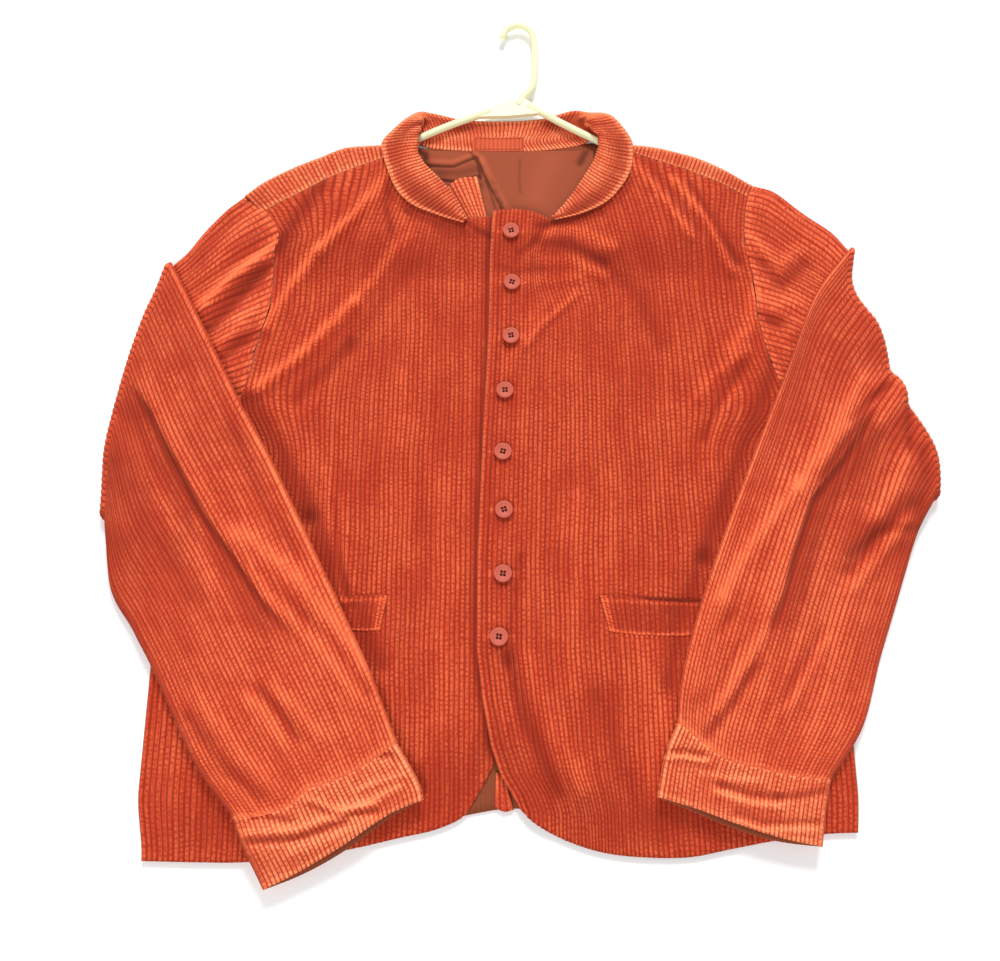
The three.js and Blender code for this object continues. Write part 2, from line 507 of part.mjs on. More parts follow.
// Cuts the body's pieces back to the sleeve sewn to them
function trimAtArmhole(side, sleeveLine) {
  const above = 400
  const beyond = side * 450
  const clear = moved(sleeveLine, -side, -0.6)
  const outline = [
    { x: clear[0].x, y: above }, ...clear, { x: beyond, y: clear.at(-1).y }, { x: beyond, y: above },
  ]
  const joined = side < 0 ? ['front_under', 'shoulder_strip_left'] : ['front_over', 'shoulder_strip_right']
  for (const name of ['back', ...joined]) trim(name, outline)
}

// Middle line of the collar's section: up the stand, round the roll, out to the edge
function collarSection(s) {
  const seam = new THREE.Vector3(s.sx, s.sy, s.sz)
  const roll = new THREE.Vector3(s.rx, s.ry, s.rz)
  const edge = new THREE.Vector3(s.ex, s.ey, s.ez)
  const flat = 1 - step(s.rz, 1.8, 8)
  const below = seam.clone().lerp(roll, 0.8)
  below.z = lerp(lerp(seam.z, roll.z, 0.35), below.z, flat)
  const above = roll.clone().lerp(edge, 0.12)
  above.z = lerp(Math.max(roll.z, edge.z) + 1.1, above.z, flat)
  const middle = roll.clone().lerp(edge, 0.55)
  middle.z = lerp(Math.max(above.z, edge.z + 0.5), middle.z, flat)
  return new THREE.CatmullRomCurve3([seam, below, roll, above, middle, edge])
}

function buildCollar() {
  const across = 9
  const sections = COLLAR.map(s => collarSection(s).getSpacedPoints(across))
  const lines = sections[0].map((_, j) => new THREE.CatmullRomCurve3(sections.map(row => row[j])))
  const rows = 36
  const middle = [...Array(rows + 1).keys()].map(i => lines.map(line => line.getPoint(i / rows)))
  const offset = distance => middle.map((row, i) => row.map((p, j) => {
    const alongway = middle[Math.min(i + 1, rows)][j].clone().sub(middle[Math.max(i - 1, 0)][j])
    const acrossway = row[Math.min(j + 1, across)].clone().sub(row[Math.max(j - 1, 0)])
    return p.clone().addScaledVector(alongway.cross(acrossway).normalize(), distance)
  }))
  shell('collar', 'corduroy', offset(WALL / 2), offset(-WALL / 2))
}

function buildWelts() {
  WELTS.forEach(welt => {
    const corner = (dx, dy) => ({ x: welt.x + dx, y: welt.y + dy + welt.tilt * dx / 60 })
    const edge = dy => [0, WELT.wide / 2, WELT.wide].map(dx => corner(dx, dy))
    const height = (x, y) => frontUnder(x, y) + WALL + 0.7
    sheet(welt.name, 'corduroy', patch(edge(0), edge(WELT.tall)), 8, 3, height, WELT.wall)
  })
}

function buildButtons() {
  const profile = [
    { r: 0, z: 0 }, { r: 6.4, z: 0 }, { r: BUTTON_RADIUS, z: 1.2 }, { r: BUTTON_RADIUS, z: 2.4 },
    { r: 7, z: 3 }, { r: 5.6, z: 2.2 }, { r: 0, z: 1.9 },
  ].map(p => new THREE.Vector2(p.r, p.z))
  BUTTONS.forEach((place, i) => {
    const geometry = new THREE.LatheGeometry(profile, 14).rotateX(Math.PI / 2)
    const heights = [-7, 0, 7].flatMap(dx => [-7, 0, 7].map(dy => frontOver(place.x + dx, place.y + dy)))
    geometry.translate(place.x, place.y, Math.max(...heights) + WALL + 0.4)
    add(`button_${i + 1}`, 'button', geometry)
  })
}

function buildNeck() {
  const lining = patch([{ x: -84, y: 247 }, { x: 0, y: 247 }, { x: 92, y: 247 }],
    [{ x: -86, y: 344 }, { x: -50, y: 343 }, { x: 0, y: 341 }, { x: 50, y: 343 }, { x: 94, y: 344 }])
  sheet('back_lining', 'lining', lining, 12, 8, () => WALL + SEAM, LINING_WALL)
  const facing = patch([{ x: -33, y: 267 }, { x: -22, y: 266.5 }, { x: -12, y: 266 }],
    [{ x: -53, y: 301 }, { x: -42, y: 312 }, { x: -22, y: 315 }])
  sheet('neck_facing', 'corduroy', facing, 4, 5, () => WALL + SEAM + LINING_WALL + SEAM)
  const label = patch([{ x: -27, y: 349 }, { x: -1, y: 348.6 }, { x: 24, y: 349 }],
    [{ x: -27, y: 363 }, { x: -1, y: 362.6 }, { x: 24, y: 363 }])
  sheet('label', 'label', label, 4, 2, () => 2.9, 0.8)
}

// The hanger is one moulded body: tube, hub plate and hook joined
function buildHanger() {
  const hookRadius = 3.4
  const hubThick = 4.6
  const tube = (rows, radius, steps) => {
    const section = new THREE.Shape().absarc(0, 0, radius, 0, 2 * Math.PI)
    return new THREE.ExtrudeGeometry(section, { extrudePath: curve(rows), steps, curveSegments: 4 })
      .translate(0, 0, HANGER_Z)
  }
  const hubShape = new THREE.Shape(HANGER_HUB.map(p => new THREE.Vector2(p.x, p.y)))
  const hub = new THREE.ExtrudeGeometry(hubShape, { depth: hubThick, bevelEnabled: false })
    .translate(0, 0, HANGER_Z - hubThick / 2)
  const joined = solid(tube(HANGER_PATH, HANGER_TUBE, 60)).add(solid(hub))
    .add(solid(tube(HANGER_HOOK, hookRadius, 20)))
  add('hanger', 'plastic', geometryOf(joined))
}

buildBack()
buildFronts()
buildShoulderStrip('shoulder_strip_left', SHOULDER_LEFT, SHOULDER_SEAM_LEFT)
buildShoulderStrip('shoulder_strip_right', SHOULDER_RIGHT, SHOULDER_SEAM_RIGHT)
buildSleeve(ARM_LEFT, ['sleeve_left', 'cuff_left'], ARMHOLE_LEFT)
buildSleeve(ARM_RIGHT, ['sleeve_right', 'cuff_right'], ARMHOLE_RIGHT)
buildCollar()
buildWelts()
buildButtons()
buildNeck()
buildHanger()

// The jacket stands over the middle of its outline, its underside on the surface
const box = new THREE.Box3().setFromObject(jacket)
jacket.position.set(-(box.min.x + box.max.x) / 2, -(box.min.y + box.max.y) / 2, -box.min.z)
jacket.updateMatrixWorld(true)

export default jacket
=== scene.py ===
# Corduroy jacket laid on its back on a pale surface, its sleeves folded in over the fronts, with a
# pale plastic hanger in the neck. Rust cotton jumbo corduroy, worn along its wales; eight buttons.
# Pieces are drawn in millimetres about the middle of the photograph, then moved to the row frame.
import math

import bmesh
import bpy
import numpy as np
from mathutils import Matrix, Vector


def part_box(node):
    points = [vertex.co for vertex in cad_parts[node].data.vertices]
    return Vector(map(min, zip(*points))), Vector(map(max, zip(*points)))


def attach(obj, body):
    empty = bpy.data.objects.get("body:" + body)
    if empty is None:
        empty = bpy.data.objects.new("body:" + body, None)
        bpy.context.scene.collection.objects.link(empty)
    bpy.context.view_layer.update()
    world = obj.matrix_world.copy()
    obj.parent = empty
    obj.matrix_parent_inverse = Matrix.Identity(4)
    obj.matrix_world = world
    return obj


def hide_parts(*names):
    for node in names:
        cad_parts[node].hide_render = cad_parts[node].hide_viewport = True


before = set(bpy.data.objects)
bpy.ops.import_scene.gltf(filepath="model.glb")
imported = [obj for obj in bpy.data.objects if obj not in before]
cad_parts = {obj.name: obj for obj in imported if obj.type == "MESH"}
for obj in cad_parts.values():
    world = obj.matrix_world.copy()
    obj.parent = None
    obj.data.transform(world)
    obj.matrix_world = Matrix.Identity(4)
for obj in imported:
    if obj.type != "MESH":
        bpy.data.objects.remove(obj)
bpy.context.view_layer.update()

# Back: one flat panel of cotton jumbo corduroy, cut in one with the shoulders, its wales up and down
# and its hem arched a little in the middle. It shows below the fronts' curved hems, where its plain
# inside is seen, and at the neck's edge.
WALE = 4.3  # from one wale to the next, in millimetres like the sizes that follow
COLUMNS = 4  # columns of points to a wale
BACK_WIDTH = 590
BACK_LENGTH = 640
TOP_BUTTON = (10.7, 247.4)
low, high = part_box("button_1")
button_middle = np.array([low.x + high.x, low.y + high.y]) / 2
to_row = np.append(button_middle - np.array(TOP_BUTTON) / 1000, 0.0)
HEM_BACK = [(-291, -325), (-209, -326), (-120, -314), (-60, -299), (-26, -291), (10, -286), (50, -291),
            (114, -308), (188, -312), (290, -304)]
TOP_BACK = [(-291, -60), (-288, 28), (-262, 45), (-243, 70), (-234, 98), (-229, 129), (-219, 169),
            (-216, 246), (-212, 300), (-196, 309), (-150, 331), (-101, 336), (-90, 352), (0, 344),
            (98, 358), (116, 336), (153, 331), (194, 317), (236, 292), (238, 237), (243, 194), (246, 161),
            (252, 120), (263, 90), (276, 68), (288, 50), (290, -60)]


def corduroy(name, dark, middle, light):
    """Cotton pile: dark grooves, partly the bare weave and partly painted shade; short beads along each wale
    where it is worn; a pile lighter in soft patches; a painted highlight line down one side of each wale;
    and the per-point attribute, which lightens it with wear and painted highlights and darkens it with
    painted shade. The UV map counts wales across and centimetres along."""
    material = bpy.data.materials.new(name)
    material.use_nodes = True
    nodes, links = material.node_tree.nodes, material.node_tree.links
    shader = nodes["Principled BSDF"]
    shader.inputs["Roughness"].default_value = 0.88
    shader.inputs["Specular IOR Level"].default_value = 0.15
    shader.inputs["Sheen Weight"].default_value = 0.25
    shader.inputs["Sheen Roughness"].default_value = 0.45
    shader.inputs["Sheen Tint"].default_value = (1.0, 0.5, 0.32, 1)

    def math_node(operation, a, b=None, clamp=False):
        node = nodes.new("ShaderNodeMath")
        node.operation = operation
        node.use_clamp = clamp
        for socket, value in zip(node.inputs, (a, b)):
            if isinstance(value, (int, float)):
                socket.default_value = value
            elif value is not None:
                links.new(value, socket)
        return node.outputs[0]

    def plus(a, b, clamp=False):
        return math_node("ADD", a, b, clamp)

    def minus(a, b):
        return math_node("SUBTRACT", a, b)

    def times(a, b):
        return math_node("MULTIPLY", a, b)

    def from_middle(value):
        """0 half way through each wale or bead, 1 at both its sides."""
        return math_node("ABSOLUTE", minus(times(math_node("FRACT", value), 2.0), 1.0))

    def noise(vector, scale, detail=2.0, dimensions="3D"):
        node = nodes.new("ShaderNodeTexNoise")
        node.noise_dimensions = dimensions
        node.inputs["Scale"].default_value = scale
        node.inputs["Detail"].default_value = detail
        links.new(vector, node.inputs["Vector"])
        return node.outputs["Fac"]

    def ramp(value, low_edge, high_edge):
        node = nodes.new("ShaderNodeMapRange")
        node.interpolation_type = "SMOOTHSTEP"
        node.inputs["From Min"].default_value = low_edge
        node.inputs["From Max"].default_value = high_edge
        links.new(value, node.inputs["Value"])
        return node.outputs["Result"]

    def blend(factor, a, b):
        node = nodes.new("ShaderNodeMix")
        node.data_type = "RGBA"
        links.new(factor, node.inputs["Factor"])
        for socket, value in ((node.inputs["A"], a), (node.inputs["B"], b)):
            if isinstance(value, tuple):
                socket.default_value = (*value, 1)
            else:
                links.new(value, socket)
        return node.outputs["Result"]

    uv = nodes.new("ShaderNodeUVMap")
    uv.uv_map = "wales"
    parts = nodes.new("ShaderNodeSeparateXYZ")
    links.new(uv.outputs["UV"], parts.inputs[0])
    across, along = parts.outputs["X"], parts.outputs["Y"]
    wale = math_node("FLOOR", across)
    where = nodes.new("ShaderNodeTexCoord").outputs["Object"]
    attribute = nodes.new("ShaderNodeAttribute")
    attribute.attribute_name = "wear_and_painted_light"
    wear_and_painted_light = attribute.outputs["Fac"]

    def stretched(wide, long, detail=1.0, start=across):
        place = nodes.new("ShaderNodeCombineXYZ")
        links.new(times(start, wide), place.inputs[0])
        links.new(times(along, long), place.inputs[1])
        return noise(place.outputs[0], 1.0, detail, "2D")

    # the grooves take the dark colour: partly the bare weave, partly painted shade
    pile = ramp(minus(1.0, from_middle(across)), 0.0, 0.66)
    stray = plus(times(stretched(0.37, 0.35, start=wale), 2.2), times(along, 2.3))
    strength = ramp(stretched(0.7, 1.1, 2.0), 0.3, 0.62)
    beaded = minus(1.0, times(ramp(from_middle(stray), 0.62, 0.04), strength))

    patches = ramp(noise(where, 21.0, 5.0), 0.34, 0.66)
    fleck = ramp(stretched(1.9, 3.4, 2.0), 0.3, 0.72)
    speckle = ramp(noise(where, 640.0, 2.0), 0.3, 0.7)
    streak = ramp(stretched(0.83, 0.07, start=wale), 0.36, 0.64)
    tone = plus(times(patches, 0.4), times(fleck, 0.45))
    tone = plus(tone, times(minus(speckle, 0.5), 0.32))
    tone = plus(tone, times(minus(streak, 0.5), 0.26))
    tone = minus(tone, times(minus(1.0, beaded), 0.34))
    # above 0 the attribute lightens the tone and fills the grooves with wear and painted highlights; below 0
    # it darkens them as painted shade
    tone = plus(tone, minus(times(wear_and_painted_light, 0.9), 0.08), clamp=True)

    kept = times(pile, plus(times(beaded, 0.42), 0.58))
    kept = times(kept, plus(1.0, times(wear_and_painted_light, 0.75), clamp=True))
    kept = math_node("MAXIMUM", kept, minus(wear_and_painted_light, 0.35), clamp=True)
    colour = blend(kept, dark, blend(tone, middle, light))
    # a painted highlight: a thin pale line down one side of each wale
    painted_highlight_line = ramp(math_node("ABSOLUTE", minus(math_node("FRACT", across), 0.83)), 0.11, 0.0)
    painted_highlight_line = times(painted_highlight_line, ramp(stretched(0.61, 0.12), 0.44, 0.58))
    colour = blend(times(painted_highlight_line, 0.5), colour, light)
    # painted light and shade: the whole colour is scaled up and down by the attribute
    painted_light_scale = nodes.new("ShaderNodeVectorMath")
    painted_light_scale.operation = "SCALE"
    links.new(colour, painted_light_scale.inputs[0])
    brightness = math_node("MAXIMUM", math_node("MINIMUM", times(wear_and_painted_light, 0.34), 0.2), -0.45)
    links.new(plus(brightness, 1.0), painted_light_scale.inputs["Scale"])
    links.new(painted_light_scale.outputs[0], shader.inputs["Base Color"])

    height = plus(times(pile, 0.5), times(times(beaded, pile), 0.7))
    height = plus(height, times(noise(where, 1200.0, 1.0), 0.3))
    bump = nodes.new("ShaderNodeBump")
    bump.inputs["Strength"].default_value = 0.5
    bump.inputs["Distance"].default_value = 0.001
    links.new(height, bump.inputs["Height"])
    links.new(bump.outputs[0], shader.inputs["Normal"])
    return material


def plain(name, colour, roughness, specular, weave=0.0, shaded=None):
    """One colour, with a fine weave if given, and if shaded is given, darkened towards it as painted shade
    where the per-point attribute is below 0 and lightened where it is above 0.
    """
    material = bpy.data.materials.new(name)
    material.use_nodes = True
    nodes, links = material.node_tree.nodes, material.node_tree.links
    shader = nodes["Principled BSDF"]
    shader.inputs["Base Color"].default_value = (*colour, 1)
    shader.inputs["Roughness"].default_value = roughness
    shader.inputs["Specular IOR Level"].default_value = specular
    if weave:
        where = nodes.new("ShaderNodeTexCoord").outputs["Object"]
        grain = nodes.new("ShaderNodeTexNoise")
        grain.inputs["Scale"].default_value = 1100
        links.new(where, grain.inputs["Vector"])
        bump = nodes.new("ShaderNodeBump")
        bump.inputs["Strength"].default_value = weave
        bump.inputs["Distance"].default_value = 0.0004
        links.new(grain.outputs["Fac"], bump.inputs["Height"])
        links.new(bump.outputs[0], shader.inputs["Normal"])
    if shaded:
        wear_and_painted_light = nodes.new("ShaderNodeAttribute")
        wear_and_painted_light.attribute_name = "wear_and_painted_light"
        place = nodes.new("ShaderNodeMapRange")
        place.inputs["From Min"].default_value = -0.5
        place.inputs["From Max"].default_value = 0.5
        links.new(wear_and_painted_light.outputs["Fac"], place.inputs["Value"])
        mix = nodes.new("ShaderNodeMix")
        mix.data_type = "RGBA"
        mix.inputs["A"].default_value = (*shaded, 1)
        mix.inputs["B"].default_value = (*[2 * c - d for c, d in zip(colour, shaded)], 1)
        links.new(place.outputs["Result"], mix.inputs["Factor"])
        links.new(mix.outputs["Result"], shader.inputs["Base Color"])
    return material


FRONT = corduroy("corduroy_front", (0.29, 0.020, 0.007), (0.49, 0.041, 0.014), (0.76, 0.13, 0.044))
REVERSE = plain("corduroy_reverse", (0.24, 0.058, 0.027), 0.95, specular=0.05, weave=0.3)


def curve(points, share):
    """Smooth line through the points, read at the shares of its length."""
    p = np.array(points, float)
    p = np.vstack([2 * p[0] - p[1], p, 2 * p[-1] - p[-2]])
    knots = np.append(0, np.cumsum(np.linalg.norm(np.diff(p, axis=0), axis=1) ** 0.5))
    dense = []
    for i in range(1, len(p) - 2):
        t = np.linspace(knots[i], knots[i + 1], 24, endpoint=False)[:, None]
        k, q = knots[i - 1:i + 3], p[i - 1:i + 3]
        a = [((k[j + 1] - t) * q[j] + (t - k[j]) * q[j + 1]) / (k[j + 1] - k[j]) for j in range(3)]
        b = [((k[j + 2] - t) * a[j] + (t - k[j]) * a[j + 1]) / (k[j + 2] - k[j]) for j in range(2)]
        dense.append(((k[2] - t) * b[0] + (t - k[1]) * b[1]) / (k[2] - k[1]))
    dense = np.vstack([*dense, p[-2]])
    place = np.append(0, np.cumsum(np.linalg.norm(np.diff(dense, axis=0), axis=1)))
    share = np.asarray(share, float) * place[-1]
    return np.stack([np.interp(share, place, dense[:, k]) for k in range(dense.shape[1])], -1)


def curve_at(line, x):
    """The height at which the smooth line passes x."""
    dense = curve(line, np.linspace(0, 1, 400))
    order = np.argsort(dense[:, 0])
    return np.interp(x, dense[order, 0], dense[order, 1])


def smooth(value, start, end):
    """0 up to start, 1 from end on, and a soft rise between them."""
    t = np.clip((value - start) / (end - start), 0, 1)
    return t * t * (3 - 2 * t)


def normals(p):
    n = np.cross(np.gradient(p, axis=1), np.gradient(p, axis=0))
    return n / np.maximum(np.linalg.norm(n, axis=-1, keepdims=True), 1e-9)


def cloth(name, points, wales, along, materials, wall=1.5, closed=False, wear_and_painted_light=0.0, painted_slope_light=1.6, cut=None):
    """A sheet through the points. Its per-point value is above 0 where real wear, stitches and painted
    highlights on ridges make the cloth lighter, and below 0 where painted shade darkens it; slopes that
    face the key light at the collar end get painted light on top, and slopes turned away painted shade.
    cut marks faces left out."""
    rows, cols = points.shape[:2]
    bm = bmesh.new()
    bmesh.ops.create_grid(bm, x_segments=cols - 1, y_segments=rows - 1, size=1)
    mesh = bpy.data.meshes.new(name)
    bm.to_mesh(mesh)
    bm.free()
    mesh.vertices.foreach_set("co", (points / 1000 + to_row).astype(np.float32).ravel())
    corner = np.empty(len(mesh.loops), np.int32)
    mesh.loops.foreach_get("vertex_index", corner)
    along = along if np.ndim(along) == 2 else along[:, None]
    uv = np.stack(np.broadcast_arrays(wales[None, :], along / 10), -1).reshape(-1, 2)
    layer = mesh.uv_layers.new(name="wales")
    layer.data.foreach_set("uv", uv[corner].astype(np.float32).ravel())
    # painted light and shade: slopes that face the key light at the collar end are lighter, those turned away
    # darker
    facing = normals(points[:, ::COLUMNS])
    facing = facing[..., 1] * np.sign(facing[..., 2])
    place = np.arange(cols) / COLUMNS
    left = np.minimum(place.astype(int), facing.shape[1] - 2)
    share = np.minimum(place - left, 1)
    slope = facing[:, left] * (1 - share) + facing[:, left + 1] * share
    lit = wear_and_painted_light + np.clip(painted_slope_light * slope, -0.7, 0.7)
    light_and_wear_layer = mesh.attributes.new("wear_and_painted_light", "FLOAT", "POINT")
    light_and_wear_layer.data.foreach_set("value", np.broadcast_to(lit, (rows, cols)).astype(np.float32).ravel())
    mesh.polygons.foreach_set("use_smooth", [True] * len(mesh.polygons))
    mesh.update()
    piece = bpy.data.objects.new(name, mesh)
    bpy.context.scene.collection.objects.link(piece)
    if closed or cut is not None:
        bm = bmesh.new()
        bm.from_mesh(mesh)
        if closed:
            bmesh.ops.remove_doubles(bm, verts=bm.verts, dist=1e-6)
        else:
            away = [f for f in bm.faces if cut[divmod(min(v.index for v in f.verts), cols)]]
            bmesh.ops.delete(bm, geom=away, context="FACES")
        bm.to_mesh(mesh)
        bm.free()
    for material in materials:
        mesh.materials.append(material)
    solid = piece.modifiers.new("cloth", "SOLIDIFY")
    solid.thickness = wall / 1000
    solid.offset = -1
    solid.material_offset = solid.material_offset_rim = 0
    if len(materials) > 1:
        solid.material_offset = 1
    return piece


def place_piece(piece, node):
    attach(piece, "root")
    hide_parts(node)
    return piece


def quarter_wales(width):
    """Columns for a width of cloth: shares across it, and the wale each one lies at."""
    count = max(2, round(width / WALE))
    return np.linspace(0, 1, count * COLUMNS + 1), np.linspace(0, count, count * COLUMNS + 1)


u, wales = quarter_wales(BACK_WIDTH)
v = np.linspace(0, 1, 66)
hem_start, hem_end = HEM_BACK[0][0], HEM_BACK[-1][0]
straight_x = hem_start + (hem_end - hem_start) * u[None]
hem_y = curve_at(HEM_BACK, straight_x)
y = hem_y + (np.interp(straight_x, *np.array(TOP_BACK).T) - hem_y) * v[:, None]
x = straight_x * (1 + 0.024 * smooth(y, -325, -200))
ridge = 0.5 * np.array([0.0, 0.7, 1.0, 0.7])[np.round(wales * COLUMNS).astype(int) % COLUMNS]
points = np.dstack([x, y, 0 * x + 0.05 + ridge])[:, ::-1]
back = cloth("back_panel", points, wales[::-1], v * BACK_LENGTH, [FRONT, REVERSE], wall=1.4)
place_piece(back, "back")

# Fronts: the under front (viewer's left) and the over front, which buttons over it, each cut from one
# piece of the same cloth. They lie on the back at the sides and hem, rise a little in the middle and
# more over the hanger inside the shoulders.
WALL = 2.0  # thickness of one layer
SEAM = 0.4  # space at a seam
HALF_WIDTH = 297
OVER_HANGER = 11.5  # the fronts' height where the hanger lies below them
BODY_LENGTH = 610
ARMHOLE_LEFT = [(-250, 292), (-230, 274), (-214, 246), (-217, 225), (-219, 169), (-229, 129), (-234, 98),
                (-243, 70), (-262, 45), (-290, 28)]
ARMHOLE_RIGHT = [(250, 303), (244, 291), (239, 267), (237, 237), (243, 194), (244, 161), (252, 120),
                 (263, 90), (276, 68), (292, 50)]
BODY_FOLDS = [  # x and y of a fold's start, middle and end, its height, its spread to either side
    # viewer's left: from the shoulder and the collar towards the arm
    (-104, 325, -138, 270, -174, 228, 3.6, 6), (-174, 228, -200, 190, -220, 147, 3.4, 6),
    (-175, 305, -195, 269, -216, 230, -3, 8), (-91, 244, -114, 207, -139, 174, 1.9, 5),
    (-139, 174, -184, 121, -224, 86, 3.6, 6.5), (-77, 217, -109, 177, -140, 130, -0.9, 9),
    (-140, 130, -162, 102, -189, 74, -1.6, 8), (-110, 310, -112, 280, -105, 250, -2.2, 3.5),
    (-102, 302, -98, 274, -85, 246, 1.2, 4),
    # above the left pocket
    (-158, 6, -148, -59, -137, -113, 1.8, 4),
    (-143, -22, -136, -77, -128, -113, 1.6, 3.5), (-149, -22, -142, -77, -134, -111, -1.6, 3),
    # viewer's right: from the shoulder down, and out from the collar
    (129, 331, 152, 297, 184, 243, 2.2, 4), (170, 306, 199, 261, 221, 208, 2.6, 4.5),
    (187, 302, 207, 261, 229, 217, -2.4, 4), (144, 331, 165, 297, 194, 250, -1.4, 5),
    (44, 252, 73, 253, 108, 234, 2.4, 6), (37, 238, 68, 238, 101, 217, -2.6, 5),
    (38, 221, 72, 220, 100, 202, 1.8, 5), (96, 217, 133, 177, 150, 130, -1.2, 9),
    # below the right arm
    (243, 181, 235, 145, 217, 123, 2.6, 8), (232, 125, 200, 100, 184, 78, 1.8, 5),
    (228, 108, 204, 74, 186, 35, -1.8, 5), (217, 84, 196, 45, 188, 6, 1.2, 5),
    # along the button band, and long soft ones down both fronts
    (18, -77, 12, -130, 8, -171, -1.2, 4), (7, -165, 21, -217, 47, -275, -2.4, 6),
    (26, -165, 40, -217, 69, -272, 1.6, 8), (46, 177, 24, 145, 7, 102, 0.8, 7),
    (67, -22, 69, -113, 59, -190, 0.9, 10), (120, -148, 134, -215, 123, -279, 1.0, 12),
    (99, -3, 99, -59, 87, -106, 1.0, 6), (-54, -3, -47, -113, -50, -215, 0.9, 12),
    (-93, 94, -94, 6, -86, -77, 0.8, 10), (84, -198, 99, -256, 130, -303, -1.0, 10),
    # below the collar and round the top buttons
    (-58, 252, -44, 245, -14, 250, -1.8, 6), (88, 270, 58, 256, 39, 256, -1.8, 5),
    (47, 259, 29, 234, 17, 226, -2.2, 2.4), (57, 257, 37, 234, 27, 221, 1.7, 3.2),
    (-4, 214, 17, 206, 42, 211, -1.5, 2.2), (-2, 201, 41, 198, 76, 202, 1.0, 5),
    (74, 184, 40, 151, 24, 128, 1.8, 2.8), (96, 222, 76, 230, 57, 235, -1.2, 3),
    # beside the sleeves, which press the fronts down
    (-231, 76, -200, 22, -169, -38, -2.2, 8), (-169, -38, -140, -95, -103, -170, -2.2, 8),
    (261, 112, 214, 6, 180, -76, -2.2, 8), (180, -76, 155, -146, 143, -190, -2.0, 8),
]
COLLAR_SHADE = [  # where the collar keeps the light off the fronts
    (38, 255, 70, 260, 98, 272, -1.2, 4), (98, 272, 118, 288, 130, 308, -1, 3.5),
    (-36, 252, -62, 259, -90, 272, -1.2, 4), (-90, 272, -106, 290, -113, 308, -1, 3.5),
    (-34, 261, -21, 251, -9, 243, -1.4, 2.5),
]
BUTTON_PLACES = [TOP_BUTTON, (11.5, 194.6), (10.3, 138), (4.6, 83.3), (2.7, 23.6), (3.6, -31.2),
                 (2.6, -89.5), (-0.9, -144.9)]


def folds(rows, x, y):
    """Height of all folds at x, y; each row is a line of three points, its height and its spread."""
    total = np.zeros(np.shape(x))
    for x1, y1, x2, y2, x3, y3, rise, wide in rows:
        nearest = np.full(np.shape(x), 1e9)
        for ax, ay, bx, by in ((x1, y1, x2, y2), (x2, y2, x3, y3)):
            long, high = bx - ax, by - ay
            t = np.clip(((x - ax) * long + (y - ay) * high) / (long ** 2 + high ** 2), 0, 1)
            nearest = np.minimum(nearest, np.hypot(x - ax - t * long, y - ay - t * high))
        total += rise * np.exp(-(nearest / wide) ** 2)
    return total


def unevenness(x, y, seed, rise):
    """Small lasting creases of worn cotton: waves of six lengths, each with a direction of its own."""
    rng = np.random.default_rng(seed)
    total = np.zeros(np.shape(x))
    for wave in (130, 90, 64, 45, 33, 24):
        turn, shift = rng.uniform(0, math.pi), rng.uniform(0, 6.3)
        across = x * math.cos(turn) + y * math.sin(turn)
        total += np.sin(across * 2 * math.pi / wave + shift) * (wave / 130) ** 0.6
    return total * rise / 2


def ribbed(p, wales, depth=0.9):
    """Sinks the grooves between wales, by a depth that may differ by row."""
    groove = np.array([1.0, 0.3, 0.0, 0.3])[np.round(wales * COLUMNS).astype(int) % COLUMNS]
    return p - normals(p) * (np.reshape(depth, (-1, 1)) * groove)[..., None]


def front_under(x, y, from_hem=None):
    """Height of the under front: low at its edges, loose inside them, lifted over the hanger."""
    loose = smooth(HALF_WIDTH - np.abs(x), 0, 55)
    if from_hem is not None:
        loose = loose * smooth(from_hem, 0, 0.1)
    tent = smooth(y, 195, 252) * smooth(248 - np.abs(x), 0, 34)
    from_neck = np.hypot(x - 7, y - 325)
    fold = folds(BODY_FOLDS, x, y) + unevenness(x, y, 4, 0.45)
    fold = fold * smooth(from_neck, 122, 150) * loose
    calm = 2.5 + 4 * loose + fold
    return calm + (OVER_HANGER + np.maximum(0, fold) - calm) * tent


def front_over(x, y, from_hem=None):
    """The over front lies 2.8 higher along the button band, where it covers the under front."""
    return front_under(x, y, from_hem) + 2.8 * (1 - smooth(x, 26, 50))


def ends(x, y, low_line, high_line):
    """Where each wale enters and leaves the panel; x holds a wale a column and y a height a row."""
    low = y[:, None] - curve_at(low_line, x)
    high = curve_at(high_line, x) - y[:, None]
    columns = np.arange(x.shape[1])
    first = np.clip(np.argmax(low >= 0, axis=0), 1, len(y) - 1)
    below, above = low[first - 1, columns], low[first, columns]
    bottom = y[first] - (y[1] - y[0]) * np.clip(above / (above - below + 1e-9), 0, 1)
    outside = (high < 0) & (y[:, None] > bottom + 1)
    last = np.clip(np.argmax(outside, axis=0), 1, len(y) - 1)
    below, above = high[last - 1, columns], high[last, columns]
    top = y[last - 1] + (y[1] - y[0]) * np.clip(below / (below - above + 1e-9), 0, 1)
    return bottom, np.maximum(top, bottom + 1)


PLACKET = [(-290, 16), (-277, 11), (-259, 0), (-235, -8), (-198, -15), (-156, -20), (-76, -20), (36, -16),
           (146, -11), (222, -10), (258, -8), (290, -5)]  # y, x of the over front's edge
ARM_EDGE = {  # y, x of each front's edge at the armhole
    -1: [(60, -244), (98, -234), (129, -229), (169, -219), (200, -217.5), (225, -217), (246, -214),
         (274, -230), (292, -250)],
    1: [(60, 279), (90, 263), (120, 252), (161, 244), (194, 243), (237, 237), (267, 239), (291, 244)],
}
ARM_WALE = {-1: -214, 1: 237}  # the last wale that reaches the shoulder


